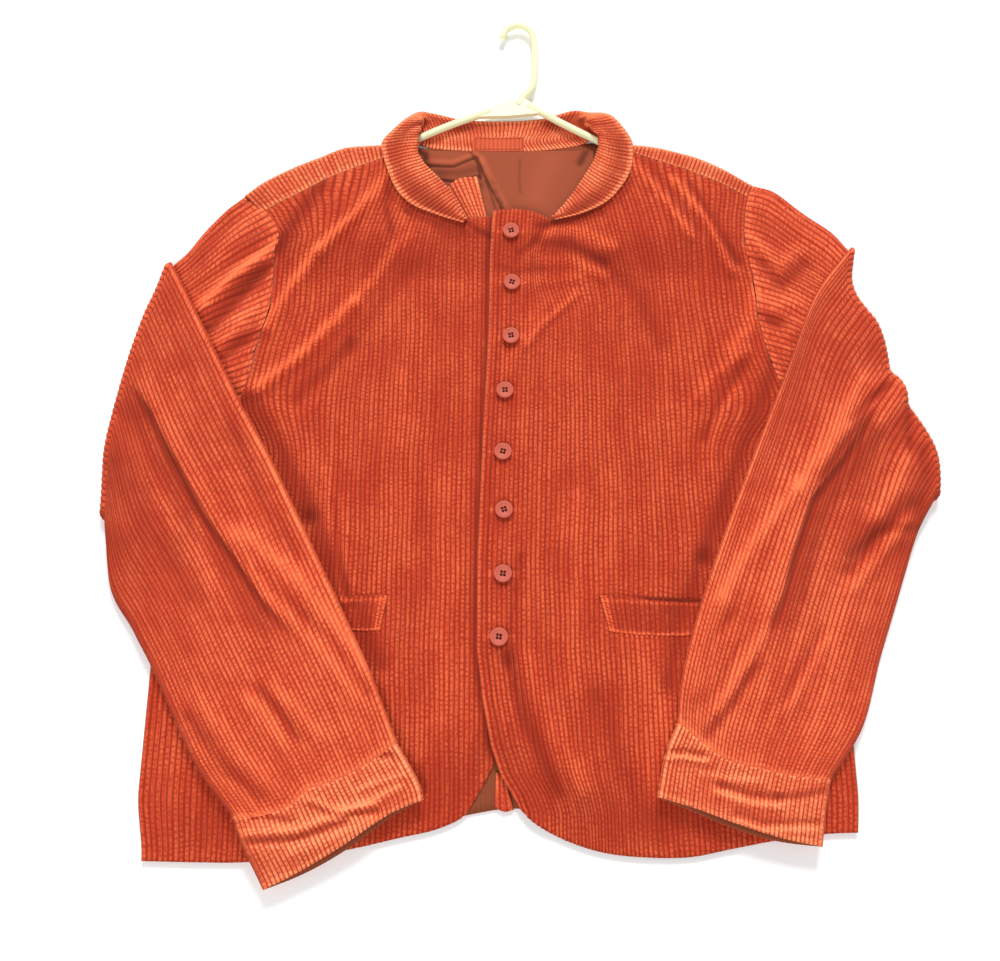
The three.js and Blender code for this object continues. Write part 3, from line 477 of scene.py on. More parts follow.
def wale_line(n, y, side):
    """Where the wale that starts at n lies at height y: wales fan out from the neck and follow the edges."""
    out = np.abs(n)
    arm_wale = abs(ARM_WALE[side])
    fan = 26 * smooth(y, 205, 335) * smooth(out, 35, 95) * (1 - smooth(out, 150, 212))
    arm = np.interp(y, *np.array(ARM_EDGE[side]).T) - ARM_WALE[side]
    arm = arm * smooth(out, 150, arm_wale) * (1 - 0.4 * smooth(out, arm_wale, 292)) * smooth(y, 20, 98)
    low_side = smooth(y + 330, 0, 60) * (1 - smooth(y, -60, 20))
    seam = side * (8 if side < 0 else 5) * low_side * smooth(out, 230, 292)
    drift = 1.2 * np.sin(y / 71 + n / 90) + 0.5 * np.sin(y / 27 + n / 41) + 0.35 * np.sin(y / 14.3 - n / 23)
    drift = drift * smooth(out, 20, 60) * (1 - smooth(out, 180, 212))
    x = n + arm + seam + drift - side * fan
    if side > 0:
        x = x + (np.interp(y, *np.array(PLACKET).T) + 20) * (1 - smooth(n, -20, 130))
        pull = smooth(y, 165, 205) * (1 - smooth(y, 222, 262)) * smooth(n, 14, 44) * (1 - smooth(n, 66, 120))
        ripple = np.sin(y / 19 + n / 27) * smooth(y, 110, 190) * smooth(n, 30, 70)
        x = x - 8 * pull + 1.3 * ripple * (1 - smooth(n, 190, 212))
    return x


def front(name, node, start, end, side, hem, seam_line, armhole_line, height):
    """One front: full wales from hem to shoulder, and below the armhole shorter ones, cut off there."""
    edge = ARM_WALE[side]
    cuts = [start, edge, end] if start < edge < end else [start, end]
    n = [start]
    for a, b in zip(cuts, cuts[1:]):
        n.extend(np.linspace(a, b, round(abs(b - a) / WALE) * COLUMNS + 1)[1:])
    n = np.array(n, float)
    y = np.linspace(-335, 350, 1371)
    x = wale_line(n[None], y[:, None], side)
    bottom, top = ends(x, y, hem, seam_line)
    under_arm = np.abs(n) > abs(edge) + 0.1
    level = np.where(under_arm, ends(x, y, hem, armhole_line)[1], 98)
    top = np.where(under_arm, level + 100, top)
    below_arm = np.linspace(0, 1, 96)[:, None]
    above_arm = np.linspace(0, 1, 51)[1:, None]
    y = np.vstack([bottom + (level - bottom) * below_arm, level + (top - level) * above_arm])
    x = wale_line(n[None], y, side)
    hem_x, hem_y = np.array(hem).T
    z = height(x, y, (y - np.interp(x, hem_x, hem_y)) / BODY_LENGTH) + WALL
    wales = np.arange(len(n)) / COLUMNS
    points = ribbed(np.dstack([x, y, z]), wales)
    cut = np.zeros((len(y), len(n)), bool)
    cut[len(below_arm) - 1:] = under_arm | np.roll(under_arm, -1)
    # painted highlights on the fold ridges, painted shade in their troughs, and a painted shadow below the
    # collar's edge
    wear_and_painted_light = 0.2 * folds(BODY_FOLDS, x, y) + 0.5 * folds(COLLAR_SHADE, x, y)
    from_edge = x - np.interp(y, *np.array(PLACKET).T)
    if side > 0:
        wear_and_painted_light += 0.7 * np.exp(-(from_edge / 1.7) ** 2) - 0.3 * np.exp(-((from_edge - 8.6) / 1.2) ** 2)
        # pale buttonhole stitches to either side of each button, and a painted shadow just below it
        for bx, by in BUTTON_PLACES:
            beside = np.exp(-((np.abs(x - bx) - 11) / 2.2) ** 2) * np.exp(-((y - by) / 2.6) ** 2)
            wear_and_painted_light += 0.7 * beside - 0.5 * np.exp(-(np.hypot(x - bx, y - by + 3) / 9) ** 2)
    else:
        # painted shadow of the over front's edge on the under front
        wear_and_painted_light -= 0.7 * np.exp(-((from_edge + 1) / 3.2) ** 2)
    piece = cloth(name, points, wales, y + 400, [FRONT, REVERSE], wear_and_painted_light=wear_and_painted_light, cut=cut)
    return place_piece(piece, node)


HEM_LEFT = [(-292, -327), (-245, -328), (-209, -328), (-163, -324), (-123, -318), (-82, -309),
            (-51, -302), (-30, -292), (-21, -279)]
HEM_RIGHT = [(17, -286), (25, -295), (49, -309), (82, -320), (114, -324), (155, -324), (188, -318),
             (227, -311), (267, -306), (292, -305)]
SEAM_LEFT = [(-106, 336), (-122, 330), (-148, 319), (-168, 310), (-196, 293), (-230, 274)]
SEAM_RIGHT = [(119, 341), (132, 338), (160, 328), (188, 317), (216, 304), (244, 291)]
NECK_LEFT = [(-99, 335), (-94, 328), (-86, 315), (-74, 302), (-60, 286), (-48, 271), (-38, 263), (-26, 265),
             (-10, 266), (26, 266)]
NECK_RIGHT = [(-24, 268), (-6, 271), (15, 272.5), (36, 269), (54, 262), (69, 273), (83, 290), (95, 306),
              (104, 320), (111, 333)]
under = front(
    "under_front", "front_under", -292, 21, -1,
    HEM_LEFT + [(-9, -258), (6, -228), (18, -180), (26, -172)],
    [(x, y - SEAM) for x, y in SEAM_LEFT[::-1]] + NECK_LEFT,
    [(x - 0.6, y + 1) for x, y in ARMHOLE_LEFT[6:][::-1]], front_under)
over = front(
    "over_front", "front_over", -20, 292, 1,
    [(-30, -276), (4, -276), (11, -277.5)] + HEM_RIGHT,
    NECK_RIGHT + [(x, y - SEAM) for x, y in SEAM_RIGHT],
    [(x + 0.6, y + 1) for x, y in ARMHOLE_RIGHT[6:][::-1]], front_over)

# Hem corner: the back's hem is turned in and sewn down, and a corner of the turned corduroy, a little
# lighter than the rest, shows between the fronts' rounded lower corners.
# a lighter copy of the fronts' corduroy: painted light, as the sleeves lie higher, nearer the lamps
SLEEVES = corduroy("corduroy_sleeve", (0.32, 0.024, 0.009), (0.55, 0.054, 0.020), (0.84, 0.165, 0.062))


def patch(near, far, first, last, u, v):
    """Points of a four-sided piece of cloth: rows v from the line near to the line far, columns u along
    them. first and last hold the points between these lines at the piece's two ends."""
    a, b = curve(near, u)[None], curve(far, u)[None]
    c = curve([near[0], *first, far[0]], v)[:, None]
    d = curve([near[-1], *last, far[-1]], v)[:, None]
    u, v = np.asarray(u)[None, :, None], np.asarray(v)[:, None, None]
    corners = (1 - v) * ((1 - u) * a[:, :1] + u * a[:, -1:]) + v * ((1 - u) * b[:, :1] + u * b[:, -1:])
    return (1 - v) * a + v * b + (1 - u) * c + u * d - corners


u, wales = quarter_wales(15)
v = np.linspace(0, 1, 9)
flat = patch([(-5, -284), (3, -288.5), (11.5, -287)], [(-4, -257), (0, -257), (5, -262)], [], [], u, v)
points = ribbed(np.dstack([flat, np.full(flat.shape[:2], 3.4)]), wales, 0.6)
corner = cloth("hem_corner", points, wales, v * 30, [SLEEVES, REVERSE], wall=0.9)
place_piece(corner, "back")

# Shoulder strips: the back comes over each shoulder and is sewn to the front 20 to 30 mm below the
# outline, its wales across the strip, with a row of stitching beside the seam.
# a still lighter copy of the fronts' corduroy for the collar, cuffs and strips; on the collar and cuffs,
# which lie higher, nearer the lamps, the difference is painted light
TRIM = corduroy("corduroy_trim", (0.32, 0.028, 0.010), (0.70, 0.094, 0.034), (0.98, 0.28, 0.12))
STRIP_LENGTH = 150
TURNED_UNDER = 13
SHOULDERS = [
    ("left", SEAM_LEFT[:-1] + [(-233, 272)],
     [(-107, 350), (-130, 349), (-156, 346), (-180, 335), (-202, 325), (-230, 309), (-252, 292.5)]),
    ("right", SEAM_RIGHT[:-1] + [(247, 289.5)],
     [(122, 350), (140, 349), (159, 346), (180, 340), (200, 333), (226, 319), (253, 303)]),
]
for side, seam, outline in SHOULDERS:
    u, wales = quarter_wales(STRIP_LENGTH)
    top, bottom = curve(outline, u), curve(seam, u)
    long = np.linalg.norm(bottom - top, axis=1)
    inward = (bottom - top) / long[:, None]
    roll = (front_under(bottom[:, 0], bottom[:, 1]) + WALL) / 2 + 0.3
    path = [(np.minimum(TURNED_UNDER, long), 0 * roll)]
    for turn in np.linspace(0, math.pi, 9):
        path.append((roll - roll * math.sin(turn), roll - roll * math.cos(turn)))
    for share in (0.25, 0.5, 0.75, 1):
        path.append((roll + (long - roll) * share, 2 * roll - 0.3 * share))
    points = np.array([np.column_stack([top + inward * s[:, None], z]) for s, z in path])
    if side == "right":
        points, wales = points[:, ::-1], wales[::-1]
    points = ribbed(points, wales, 0.8)
    stitches = np.zeros((len(path), 1))
    stitches[-1] = 1.0
    along = np.linspace(0, 60, len(path))
    strip = cloth(f"shoulder_{side}", points, wales, along, [TRIM, REVERSE], wall=1.4, wear_and_painted_light=stitches)
    place_piece(strip, f"shoulder_strip_{side}")

# Sleeves: a flattened tube from the armhole, folded back over itself along a slanting line and laid
# over the front. The wales run down the sleeve. The elbow and the inside of the fold are creased.
SLEEVE = 6.4  # thickness of the flattened sleeve
AXIS = SLEEVE + SEAM  # height of the line about which it is folded
FOLD_OUT = (0.96, 0.28)  # direction across that line, away from the body
SLEEVE_WIDTH = 178
CAP_LENGTH = 110
ARM_LENGTH = 440
UPPER_ROWS = 19
LOWER_ROWS = 66
UPPER_FOLDS = [  # columns as in BODY_FOLDS; first the left sleeve, then the right
    (-214, 240, -249, 206, -282, 172, 4.6, 6.5), (-217, 220, -247, 184, -275, 147, -3.2, 6),
    (-226, 176, -245, 153, -263, 124, 1.8, 5), (-229, 147, -243, 133, -257, 118, -1.6, 4),
    (-233, 279, -259, 240, -276, 208, 1.0, 7), (-254, 279, -276, 245, -292, 214, -1.0, 6),
    (251, 285, 291, 256, 332, 221, 1.4, 8), (244, 245, 266, 206, 289, 230, 2.4, 6),
    (254, 217, 269, 192, 294, 217, -2.2, 6), (240, 184, 261, 170, 284, 176, 1.6, 6),
    (246, 145, 261, 139, 276, 145, 1.4, 5), (243, 164, 260, 153, 275, 157, -1.4, 4),
]
LOWER_FOLDS = [  # columns as in BODY_FOLDS
    # left sleeve, from the inner side of the elbow down to the cuff
    (-228, -57, -176, -97, -113, -173, 2.6, 9), (-205, -114, -163, -149, -120, -199, 1.6, 5),
    (-194, -106, -144, -149, -107, -199, -1.2, 4), (-203, -191, -183, -212, -170, -230, -2.2, 4),
    (-211, -199, -194, -219, -180, -238, 1.6, 5), (-191, -190, -170, -209, -152, -228, 1.4, 6),
    (-260, -215, -224, -259, -194, -280, -1.8, 6), (-250, -204, -218, -242, -189, -268, 1.2, 7),
    (-267, -43, -257, -79, -248, -106, 1.2, 6), (-349, 13, -317, -43, -266, -114, -1.0, 12),
    (-324, 32, -286, -43, -236, -114, 0.9, 12), (-244, 42, -211, -25, -176, -79, -1.2, 6),
    # right sleeve: at the elbow's fold, then along the forearm
    (336, 94, 298, 34, 264, -15, 3.0, 7), (264, -15, 219, -69, 191, -114, 2.8, 7),
    (191, -114, 177, -149, 168, -191, 1.6, 7), (359, 89, 339, 73, 317, 52, -2.6, 3.5),
    (375, 70, 372, 44, 372, 17, -2.6, 3.2), (353, 96, 324, 60, 286, 6, 2.2, 4),
    (338, 60, 312, 30, 288, -2, -2.0, 3.5), (375, -47, 337, -51, 307, -73, -1.8, 4),
    (371, 86, 365, 71, 348, 51, 2.2, 8), (370, 18, 356, -10, 331, -41, 2.4, 7),
    (381, 22, 383, -6, 372, -34, -2.0, 6), (359, -43, 342, -65, 306, -105, 2.4, 5),
    (367, -25, 338, -52, 304, -88, -2.0, 5), (226, -143, 201, -182, 182, -208, 2.4, 5),
    (215, -173, 193, -206, 172, -230, -2.4, 4.5), (200, -126, 177, -153, 170, -199, -1.6, 4),
    (206, -149, 187, -179, 177, -204, -1.4, 3), (281, -146, 263, -176, 242, -208, 1.6, 4),
    (274, -144, 255, -173, 234, -203, -1.4, 4), (301, -114, 277, -183, 257, -240, 1.0, 9),
]
OVERLAPS = {  # where the sleeve's inner part lies over its outer part in a long soft step
    -1: [(-348, 98), (-332, 82), (-318, 61), (-304, 35), (-284, 2), (-261, -36), (-231, -76), (-206, -111),
         (-170, -149)],
    1: [(347, 75), (310, 20), (276, -22), (255, -73), (243, -109), (229, -139), (218, -158)],
}


def overlap(side, x, y):
    """Distance from the step, above 0 on the inner part, and how much of the step there is."""
    line = np.array(OVERLAPS[side], float)
    nearest, share, run = np.full(np.shape(x), 1e9), np.zeros(np.shape(x)), 0.0
    total = np.linalg.norm(np.diff(line, axis=0), axis=1).sum()
    for (ax, ay), (bx, by) in zip(line, line[1:]):
        long = math.hypot(bx - ax, by - ay)
        t = np.clip(((x - ax) * (bx - ax) + (y - ay) * (by - ay)) / long ** 2, 0, 1)
        d = np.hypot(x - ax - t * (bx - ax), y - ay - t * (by - ay))
        d = d * np.sign((bx - ax) * (y - ay) - (by - ay) * (x - ax)) * -side
        closer = np.abs(d) < np.abs(nearest)
        nearest, share = np.where(closer, d, nearest), np.where(closer, run + t * long, share)
        run += long
    return nearest, smooth(share, 0, 45) * (1 - smooth(share, total - 45, total))


def rest(x, y):
    """How much the lower sleeve lies above its usual height on the body, and below it beyond the side."""
    on_body = 1 - smooth(np.abs(x), 235, 305)
    beyond_side = smooth(np.abs(x), 304, 326) * smooth(-y, 40, 80)
    return 6 * on_body * (1 - 0.6 * smooth(-y, 308, 352)) - 3.4 * beyond_side


def about_fold(side, flat, wall_height, turn):
    """Turns points of the sleeve's wall about the fold: turn 0 is before it, pi after it."""
    reach = AXIS - wall_height
    x = flat[..., 0] + side * FOLD_OUT[0] * reach * math.sin(turn)
    y = flat[..., 1] + FOLD_OUT[1] * reach * math.sin(turn)
    after = turn / math.pi
    creased = folds(UPPER_FOLDS, x, y) + unevenness(x, y, 7, 0.5)
    before = np.where(wall_height > SLEEVE / 2, creased, 0) * (1 - after)
    away, amount = overlap(side, x, y)
    step = 3.6 * smooth(away, -1.5, 1.2) * np.exp(-(away / 34) ** 2) - 1.6 * np.exp(-((away + 4) / 5) ** 2)
    upper_wall = 0.35 + 0.65 * (wall_height < SLEEVE / 2)
    creased = (folds(LOWER_FOLDS, x, y) + amount * step) * upper_wall + unevenness(x, y, 9, 0.6)
    return np.stack([x, y, AXIS - reach * math.cos(turn) + before + (rest(x, y) + creased) * after], -1)


def tube_round(width):
    """Places round a flattened tube: share across, height in the wall's thickness, and wale."""
    count = round(width / WALE)
    rim = 0.024  # the share of the width that each rounded edge takes
    flat = np.linspace(rim, 1 - rim, count * COLUMNS + 1)
    turn = np.linspace(-0.5, 0.5, 7)[1:-1] * math.pi
    edge_u = rim * (1 - np.cos(turn))
    edge_h = SLEEVE / 2 * (1 + np.sin(turn))
    u = np.concatenate([flat, 1 - edge_u[::-1], flat[::-1], edge_u])
    h = np.concatenate([0 * flat + SLEEVE, edge_h[::-1], 0 * flat, edge_h])
    u, h = np.append(u, u[0]), np.append(h, h[0])
    return u, h, np.arange(len(u)) / COLUMNS


def tube_patch(near, far, first, last, u, v):
    """A patch whose columns go round a flattened tube, each at its share u across it."""
    order = np.argsort(u, kind="stable")
    back_again = np.empty_like(order)
    back_again[order] = np.arange(len(order))
    return patch(near, far, first, last, u[order], v)[:, back_again]


ARMS = {  # lines from the armhole over the fold to the cuff's seam and its edge
    "left": dict(
        side=-1, armhole=ARMHOLE_LEFT, over=[(-270, 276), (-288, 254), (-302, 232)], under=[(-318, 2)],
        fold=[(-322, 219), (-330, 188), (-337, 167), (-347, 125), (-357, 65), (-361, 26), (-359, -12),
              (-358, -38)],
        inner=[(-275, 142), (-238, 72), (-207, 18), (-176, -42), (-147, -99), (-110, -174)],
        outer=[(-340, -104), (-317, -139), (-296, -173), (-273, -215), (-249, -256)],
        seam=[(-85, -234), (-113, -254), (-136, -265), (-157, -272), (-170, -284), (-194, -292),
              (-218, -293)],
        cuff_inner=[(-65, -268)], cuff_outer=[(-207, -318)],
        edge=[(-62, -279), (-90, -291), (-125, -314), (-161, -335), (-190, -349)]),
    "right": dict(
        side=1, armhole=ARMHOLE_RIGHT, over=[(269, 298), (297, 275), (324, 253)], under=[(335, 25)],
        fold=[(345, 235), (341, 219), (338, 200), (341, 183), (349, 168), (357, 155), (362, 137), (364, 118),
              (365, 104), (372, 97), (377, 84), (378, 70), (383, 60), (391, 45), (398, 24), (398, 0),
              (395, -20)],
        inner=[(302, 186), (268, 109), (221, 3), (187, -79), (162, -149), (151, -191)],
        outer=[(372, -49), (357, -86), (343, -121), (329, -156), (303, -223)],
        seam=[(148, -217), (168, -235), (186, -248), (208, -254), (241, -261), (273, -264)],
        cuff_inner=[(137, -241)], cuff_outer=[(267, -287)],
        edge=[(128, -277), (161, -287), (194, -299), (226, -309), (261, -316)]),
}
for name, arm in ARMS.items():
    side = arm["side"]
    u, h, wales = tube_round(SLEEVE_WIDTH)
    axis = [(x - side * FOLD_OUT[0] * AXIS, y - FOLD_OUT[1] * AXIS) for x, y in arm["fold"]]
    start = [(x + side * 0.3, y + 0.3) for x, y in arm["armhole"]]
    v_upper, v_lower = np.linspace(0, 1, UPPER_ROWS), np.linspace(0, 1, LOWER_ROWS)
    upper = tube_patch(start, axis, arm["over"], arm["under"], u, v_upper)
    lower = tube_patch(axis, arm["seam"], arm["inner"], arm["outer"], u, v_lower)
    rows = [about_fold(side, row, h, 0.0) for row in upper]
    rows += [about_fold(side, upper[-1], h, k * math.pi / 6) for k in range(1, 6)]
    rows += [about_fold(side, row, h, math.pi) for row in lower]
    points = np.array(rows)
    place = np.arange(len(rows))
    # the cap rises to the front's height at the armhole
    front_z = front_under(points[0, :, 0] - side * 3, points[0, :, 1]) + WALL
    lift = np.maximum(front_z - points[0, :, 2], 0) * h / SLEEVE
    points[:UPPER_ROWS, :, 2] += lift * np.exp(-(np.arange(UPPER_ROWS) / 6.5) ** 2)[:, None]
    # both ends are gathered a little where they are sewn
    puckers = 0.5 * np.sin(wales * 2.4)[None] * np.exp(-place / 2.0)[:, None]
    puckers = puckers + 0.5 * np.sin(wales * 1.9)[None] * np.exp(-place[::-1] / 2.0)[:, None]
    if side < 0:
        points, wales, puckers = points[:, ::-1], wales[::-1], puckers[:, ::-1]
    points = points + normals(points) * puckers[..., None]
    from_seam = np.minimum(place, place[::-1])
    points = ribbed(points, wales, 0.8 * np.clip(0.3 + from_seam / 2.5, 0, 1))
    points[:, -1] = points[:, 0]
    # no point sinks below the surface that the jacket lies on
    lowest = np.where(normals(points)[..., 2] > -0.3, 1.5, 0.3)
    points[..., 2] = np.maximum(points[..., 2], lowest)
    x, y = points[..., 0], points[..., 1]
    away, amount = overlap(side, x, y)
    # painted highlight on the edge of the overlap, painted shade beside it
    step_light = 0.4 * np.exp(-((away - 6) / 7) ** 2) + 0.6 * np.exp(-((away - 1) / 1.3) ** 2)
    step_shade = 0.7 * np.exp(-((away + 3.5) / 3.5) ** 2) + 0.45 * np.exp(-((away + 13) / 9) ** 2)
    # painted highlights on fold ridges and painted shade in their troughs
    lower_light_and_shade = 0.2 * folds(LOWER_FOLDS, x, y) + amount * (step_light - step_shade)
    turned = (place > UPPER_ROWS + 3)[:, None]
    wear_and_painted_light = np.where(turned, lower_light_and_shade, 0.2 * folds(UPPER_FOLDS, x, y))
    # lighter towards the cuff and darker just past the fold; both seams lighter where worn
    wear_and_painted_light = wear_and_painted_light + 0.2 * smooth(place, 40, 85)[:, None]
    wear_and_painted_light = wear_and_painted_light - 0.12 * (smooth(place, 20, 26) * (1 - smooth(place, 40, 60)))[:, None]
    wear_and_painted_light[:1] += 0.6
    wear_and_painted_light[-1:] += 0.9
    at_fold = CAP_LENGTH + 3 * np.arange(1, 6)
    along = np.concatenate([v_upper * CAP_LENGTH, at_fold, at_fold[-1] + 3 + v_lower * ARM_LENGTH])
    sleeve = cloth(
        f"sleeve_{name}_cloth", points, wales, along, [SLEEVES, REVERSE], wall=1.2, closed=True, wear_and_painted_light=wear_and_painted_light)
    place_piece(sleeve, f"sleeve_{name}")

# Cuffs: a band of the same cloth, about 60 mm deep, sewn to the gathered end of the sleeve. It is
# lighter all over and where it is worn at its seam and open edge, creased across with painted highlights
# on the creases and painted shade between them, and open at its end, where its dark inside shows.
CUFF_WIDTH = 158
CUFF_DEPTH = 60
CUFF_FOLDS = [  # columns as in BODY_FOLDS; first the left cuff, then the right
    (-206, -307, -165, -304, -127, -291, 1.6, 3.5), (-127, -291, -104, -282, -82, -270, 1.5, 3.5),
    (-201, -313, -164, -311, -125, -298, -1.6, 2.5), (-156, -280, -136, -288, -101, -284, 1.5, 3),
    (-153, -284, -135, -293, -99, -289, -1.4, 2.2), (-201, -295, -193, -294, -170, -297, -1.5, 3),
    (-99, -246, -91, -244, -84, -250, -1.8, 3), (-169, -322, -137, -312, -104, -297, 1.0, 4),
    (-114, -272, -98, -266, -79, -261, 1.2, 3), (135, -242, 152, -242, 168, -245, -2.6, 2.2),
    (135, -246, 152, -246, 170, -250, 1.8, 3), (179, -269, 205, -277, 227, -279, -1.6, 3),
    (227, -279, 246, -278, 265, -274, -1.4, 3), (176, -275, 204, -284, 228, -286, 1.4, 3.5),
    (191, -291, 213, -299, 258, -298, -1.3, 3), (194, -297, 216, -304, 255, -304, 1.0, 3),
    (164, -260, 188, -264, 213, -266, 1.0, 3),
]
for name, arm in ARMS.items():
    side = arm["side"]
    u, h, wales = tube_round(CUFF_WIDTH)
    v = np.linspace(0, 1, 22)
    near = [(x + side * 0.2, y + 0.3) for x, y in arm["seam"]]
    flat = tube_patch(near, arm["edge"], arm["cuff_inner"], arm["cuff_outer"], u, v)
    # the open end curves outwards a little
    lip = 4 * np.sin(math.pi * np.clip(u, 0, 1)) * (h > SLEEVE / 2)
    outward = (np.array(arm["edge"][-1]) - arm["edge"][0]) @ np.array([[0, -side], [side, 0]])
    flat = flat + (lip * v[:, None] ** 4)[..., None] * outward / np.linalg.norm(outward)
    points = np.array([about_fold(side, row, h, math.pi) for row in flat])
    points[..., 2] += folds(CUFF_FOLDS, points[..., 0], points[..., 1]) * (h < SLEEVE / 2)[None]
    if side < 0:
        points, wales = points[:, ::-1], wales[::-1]
    points = ribbed(points, wales, 0.9)
    points[:, -1] = points[:, 0]
    points[..., 2] = np.maximum(points[..., 2], 0.3)
    # painted highlights on the creases and painted shade between them; the seam and the open edge lighter
    # with wear
    wear_and_painted_light = 0.15 + 0.2 * folds(CUFF_FOLDS, points[..., 0], points[..., 1])
    wear_and_painted_light[:1] += 1.1
    wear_and_painted_light[-2:] += 0.4
    cuff = cloth(
        f"cuff_{name}_cloth", points, wales, v * CUFF_DEPTH, [TRIM, REVERSE], wall=1.3, closed=True,
        wear_and_painted_light=wear_and_painted_light)
    place_piece(cuff, f"cuff_{name}")

# Collar: one band of two layers, its wales across it, sewn in round the neck. It lies open behind the
# neck, where its inner face shows, and rolls over at the sides to rounded ends on the fronts.
COLLAR_LENGTH = 545
COLLAR_ROWS = 19
COLLAR = [  # a section a row: x, y, z of its seam, then of its roll, then of its edge
    (-39, 263, 13, -31, 261, 15.6, -35, 257, 16.2), (-46, 272, 13, -37, 273, 16.4, -60, 266, 15.8),
    (-58, 287, 13, -47, 292, 17, -86, 278, 15.8), (-72, 303, 13, -61, 309, 17.4, -101, 294, 15.8),
    (-84, 316, 13, -74, 322, 17.6, -109, 312, 16), (-92, 329, 13, -80, 333, 17.8, -115, 331, 16.4),
    (-98, 343, 13, -80, 348, 17.8, -117, 347, 16.6), (-102, 355, 12.8, -78, 362, 17, -107, 361, 17),
    (-100, 363, 6.5, -77, 373, 13.5, -93, 376, 16), (-89, 360, 1.7, -76, 380, 5.6, -81, 388, 9.5),
    (-73, 352, 1.5, -71, 371, 1.7, -69, 390, 4.4), (-38, 347.5, 1.5, -38, 366, 1.5, -38, 384, 1.8),
    (0, 346, 1.5, 0, 364, 1.5, 0, 382, 1.8), (42, 348, 1.5, 42, 367, 1.5, 42, 385, 1.8),
    (82, 355, 1.5, 78, 375, 1.7, 75, 393, 4.4), (98, 364, 1.7, 82, 381, 5.6, 90, 387, 9.5),
    (112, 367, 6.5, 87, 373, 13.5, 109, 380, 16), (117, 358, 12.8, 92, 362, 17, 122, 365, 17),
    (114, 347, 13, 97, 350, 17.8, 131, 347, 16.6), (109, 335, 13, 96, 338, 17.8, 131, 331, 16.4),
    (102, 321, 13, 91, 324, 17.6, 128, 315, 16), (93, 307, 13, 82, 309, 17.4, 119, 298, 15.8),
    (81, 291, 13, 71, 290, 17, 104, 281, 15.8), (67, 274, 13, 58, 272, 16.4, 80, 268, 16.2),
    (57, 264, 15.2, 49, 263, 16.2, 53, 260, 16.8)]
sections = []
for s in np.array(COLLAR, float):
    seam, roll, edge = s[:3], s[3:6], s[6:]
    flatness = 1 - smooth(roll[2], 1.8, 8)
    below = seam + 0.8 * (roll - seam)
    below[2] += (seam[2] + 0.35 * (roll[2] - seam[2]) - below[2]) * (1 - flatness)
    above = roll + 0.12 * (edge - roll)
    above[2] += (max(roll[2], edge[2]) + 1.1 - above[2]) * (1 - flatness)
    middle = roll + 0.55 * (edge - roll)
    middle[2] += (max(above[2], edge[2] + 0.5) - middle[2]) * (1 - flatness)
    sections.append(curve([seam, below, roll, above, middle, edge], np.linspace(0, 1, COLLAR_ROWS)))
sections = np.array(sections)
u, wales = quarter_wales(COLLAR_LENGTH)
points = np.array([curve(sections[:, k], u) for k in range(COLLAR_ROWS)])
points = points + normals(points) * 0.9
place = np.arange(COLLAR_ROWS)
from_rim = np.minimum(place, place[::-1])
points = ribbed(points, wales, 0.9 * np.clip(0.25 + from_rim / 2.5, 0, 1))
points[..., 2] = np.maximum(points[..., 2], 1.45)
# lighter at the roll and the rim, partly wear and partly painted highlight, with painted shade on the falling
# leaf between them and lighter behind the neck; a row of stitches beside the seam
wear_and_painted_light = np.interp(place, [0, 4, 8, 13, 16, 17, 18], [0.1, -0.2, 0.25, -0.35, -0.2, 0.5, 0.95])
wear_and_painted_light = wear_and_painted_light[:, None] + 0.2 * np.sin(u * 37 + 1.5)[None] * np.sin(np.linspace(0, 3, COLLAR_ROWS))[:, None]
wear_and_painted_light += 0.22 * np.exp(-((u - 0.5) / 0.16) ** 2)
wear_and_painted_light[1] += 0.9 * (np.arange(len(u)) % COLUMNS == 2)
along = np.linspace(0, 70, COLLAR_ROWS)
collar = cloth("collar_cloth", points, wales, along, [TRIM, REVERSE], wall=1.4, wear_and_painted_light=wear_and_painted_light)
place_piece(collar, "collar")

# Pocket welts: a strip of the same cloth sewn along its short ends and lower edge with pale worn
# stitches; the right one gapes over a mouth, darkened along the welt's top edge by painted shade, and
# pulls the cloth below it into puckers.
WELT_LENGTH = 130
WELT_DEPTH = 31
for node, x0, y0, tilt in (("pocket_welt_left", -227, -140, 0.6), ("pocket_welt_right", 86, -139, -0.6)):
    right = "right" in node
    u, wales = quarter_wales(WELT_LENGTH)
    share, up = u[None], np.linspace(0, 1, 25)[:, None]
    mouth, sag, slant, sewn_end = 0, 0, -6 * share ** 6, 0.96
    if right:
        mouth = np.sin(math.pi * np.clip((share - 0.22) / 0.7, 0, 1)) * up ** 2
        sag = -4 * np.sin(math.pi * np.clip(share * 1.2, 0, 1))
        slant = 8 * (1 - share) ** 6
        sewn_end = 0.03
    x = x0 + WELT_LENGTH * share + slant * (1 - up)
    y = y0 + WELT_DEPTH * up + tilt * (x - x0) / 60 - 3.5 * mouth + sag * (1 - up)
    z = front_under(x, y) + WALL + 1.1 + 2.2 * mouth - 0.5 * (1 - up) ** 4
    end_stitches = np.exp(-((share - sewn_end) / 0.035) ** 2) * (0.5 + 0.5 * np.sin(y * 2.1 + x * 0.9))
    wear_and_painted_light = 1.5 * end_stitches + 1.2 * np.exp(-((up * WELT_DEPTH - 1) / 1.3) ** 2) - 0.2
    # a pale line near the top, and painted shade along the top edge where the right welt gapes
    wear_and_painted_light = wear_and_painted_light + 0.5 * np.exp(-((up - 0.86) * WELT_DEPTH / 1.5) ** 2) - 2.2 * mouth * (up > 0.94)
    points = ribbed(np.dstack([x, y, z]), wales, 0.7)
    along = up[:, 0] * WELT_DEPTH
    welt = cloth(node + "_cloth", points, wales, along, [FRONT, REVERSE], wall=1.0, wear_and_painted_light=wear_and_painted_light)
    place_piece(welt, node)

# Buttons: moulded in one piece, dusty pink-brown, with a raised rim round a shallow dish, and sewn to
# the over front by thread through four holes.
BUTTON = plain("button_plastic", (0.53, 0.105, 0.066), 0.55, specular=0.25)
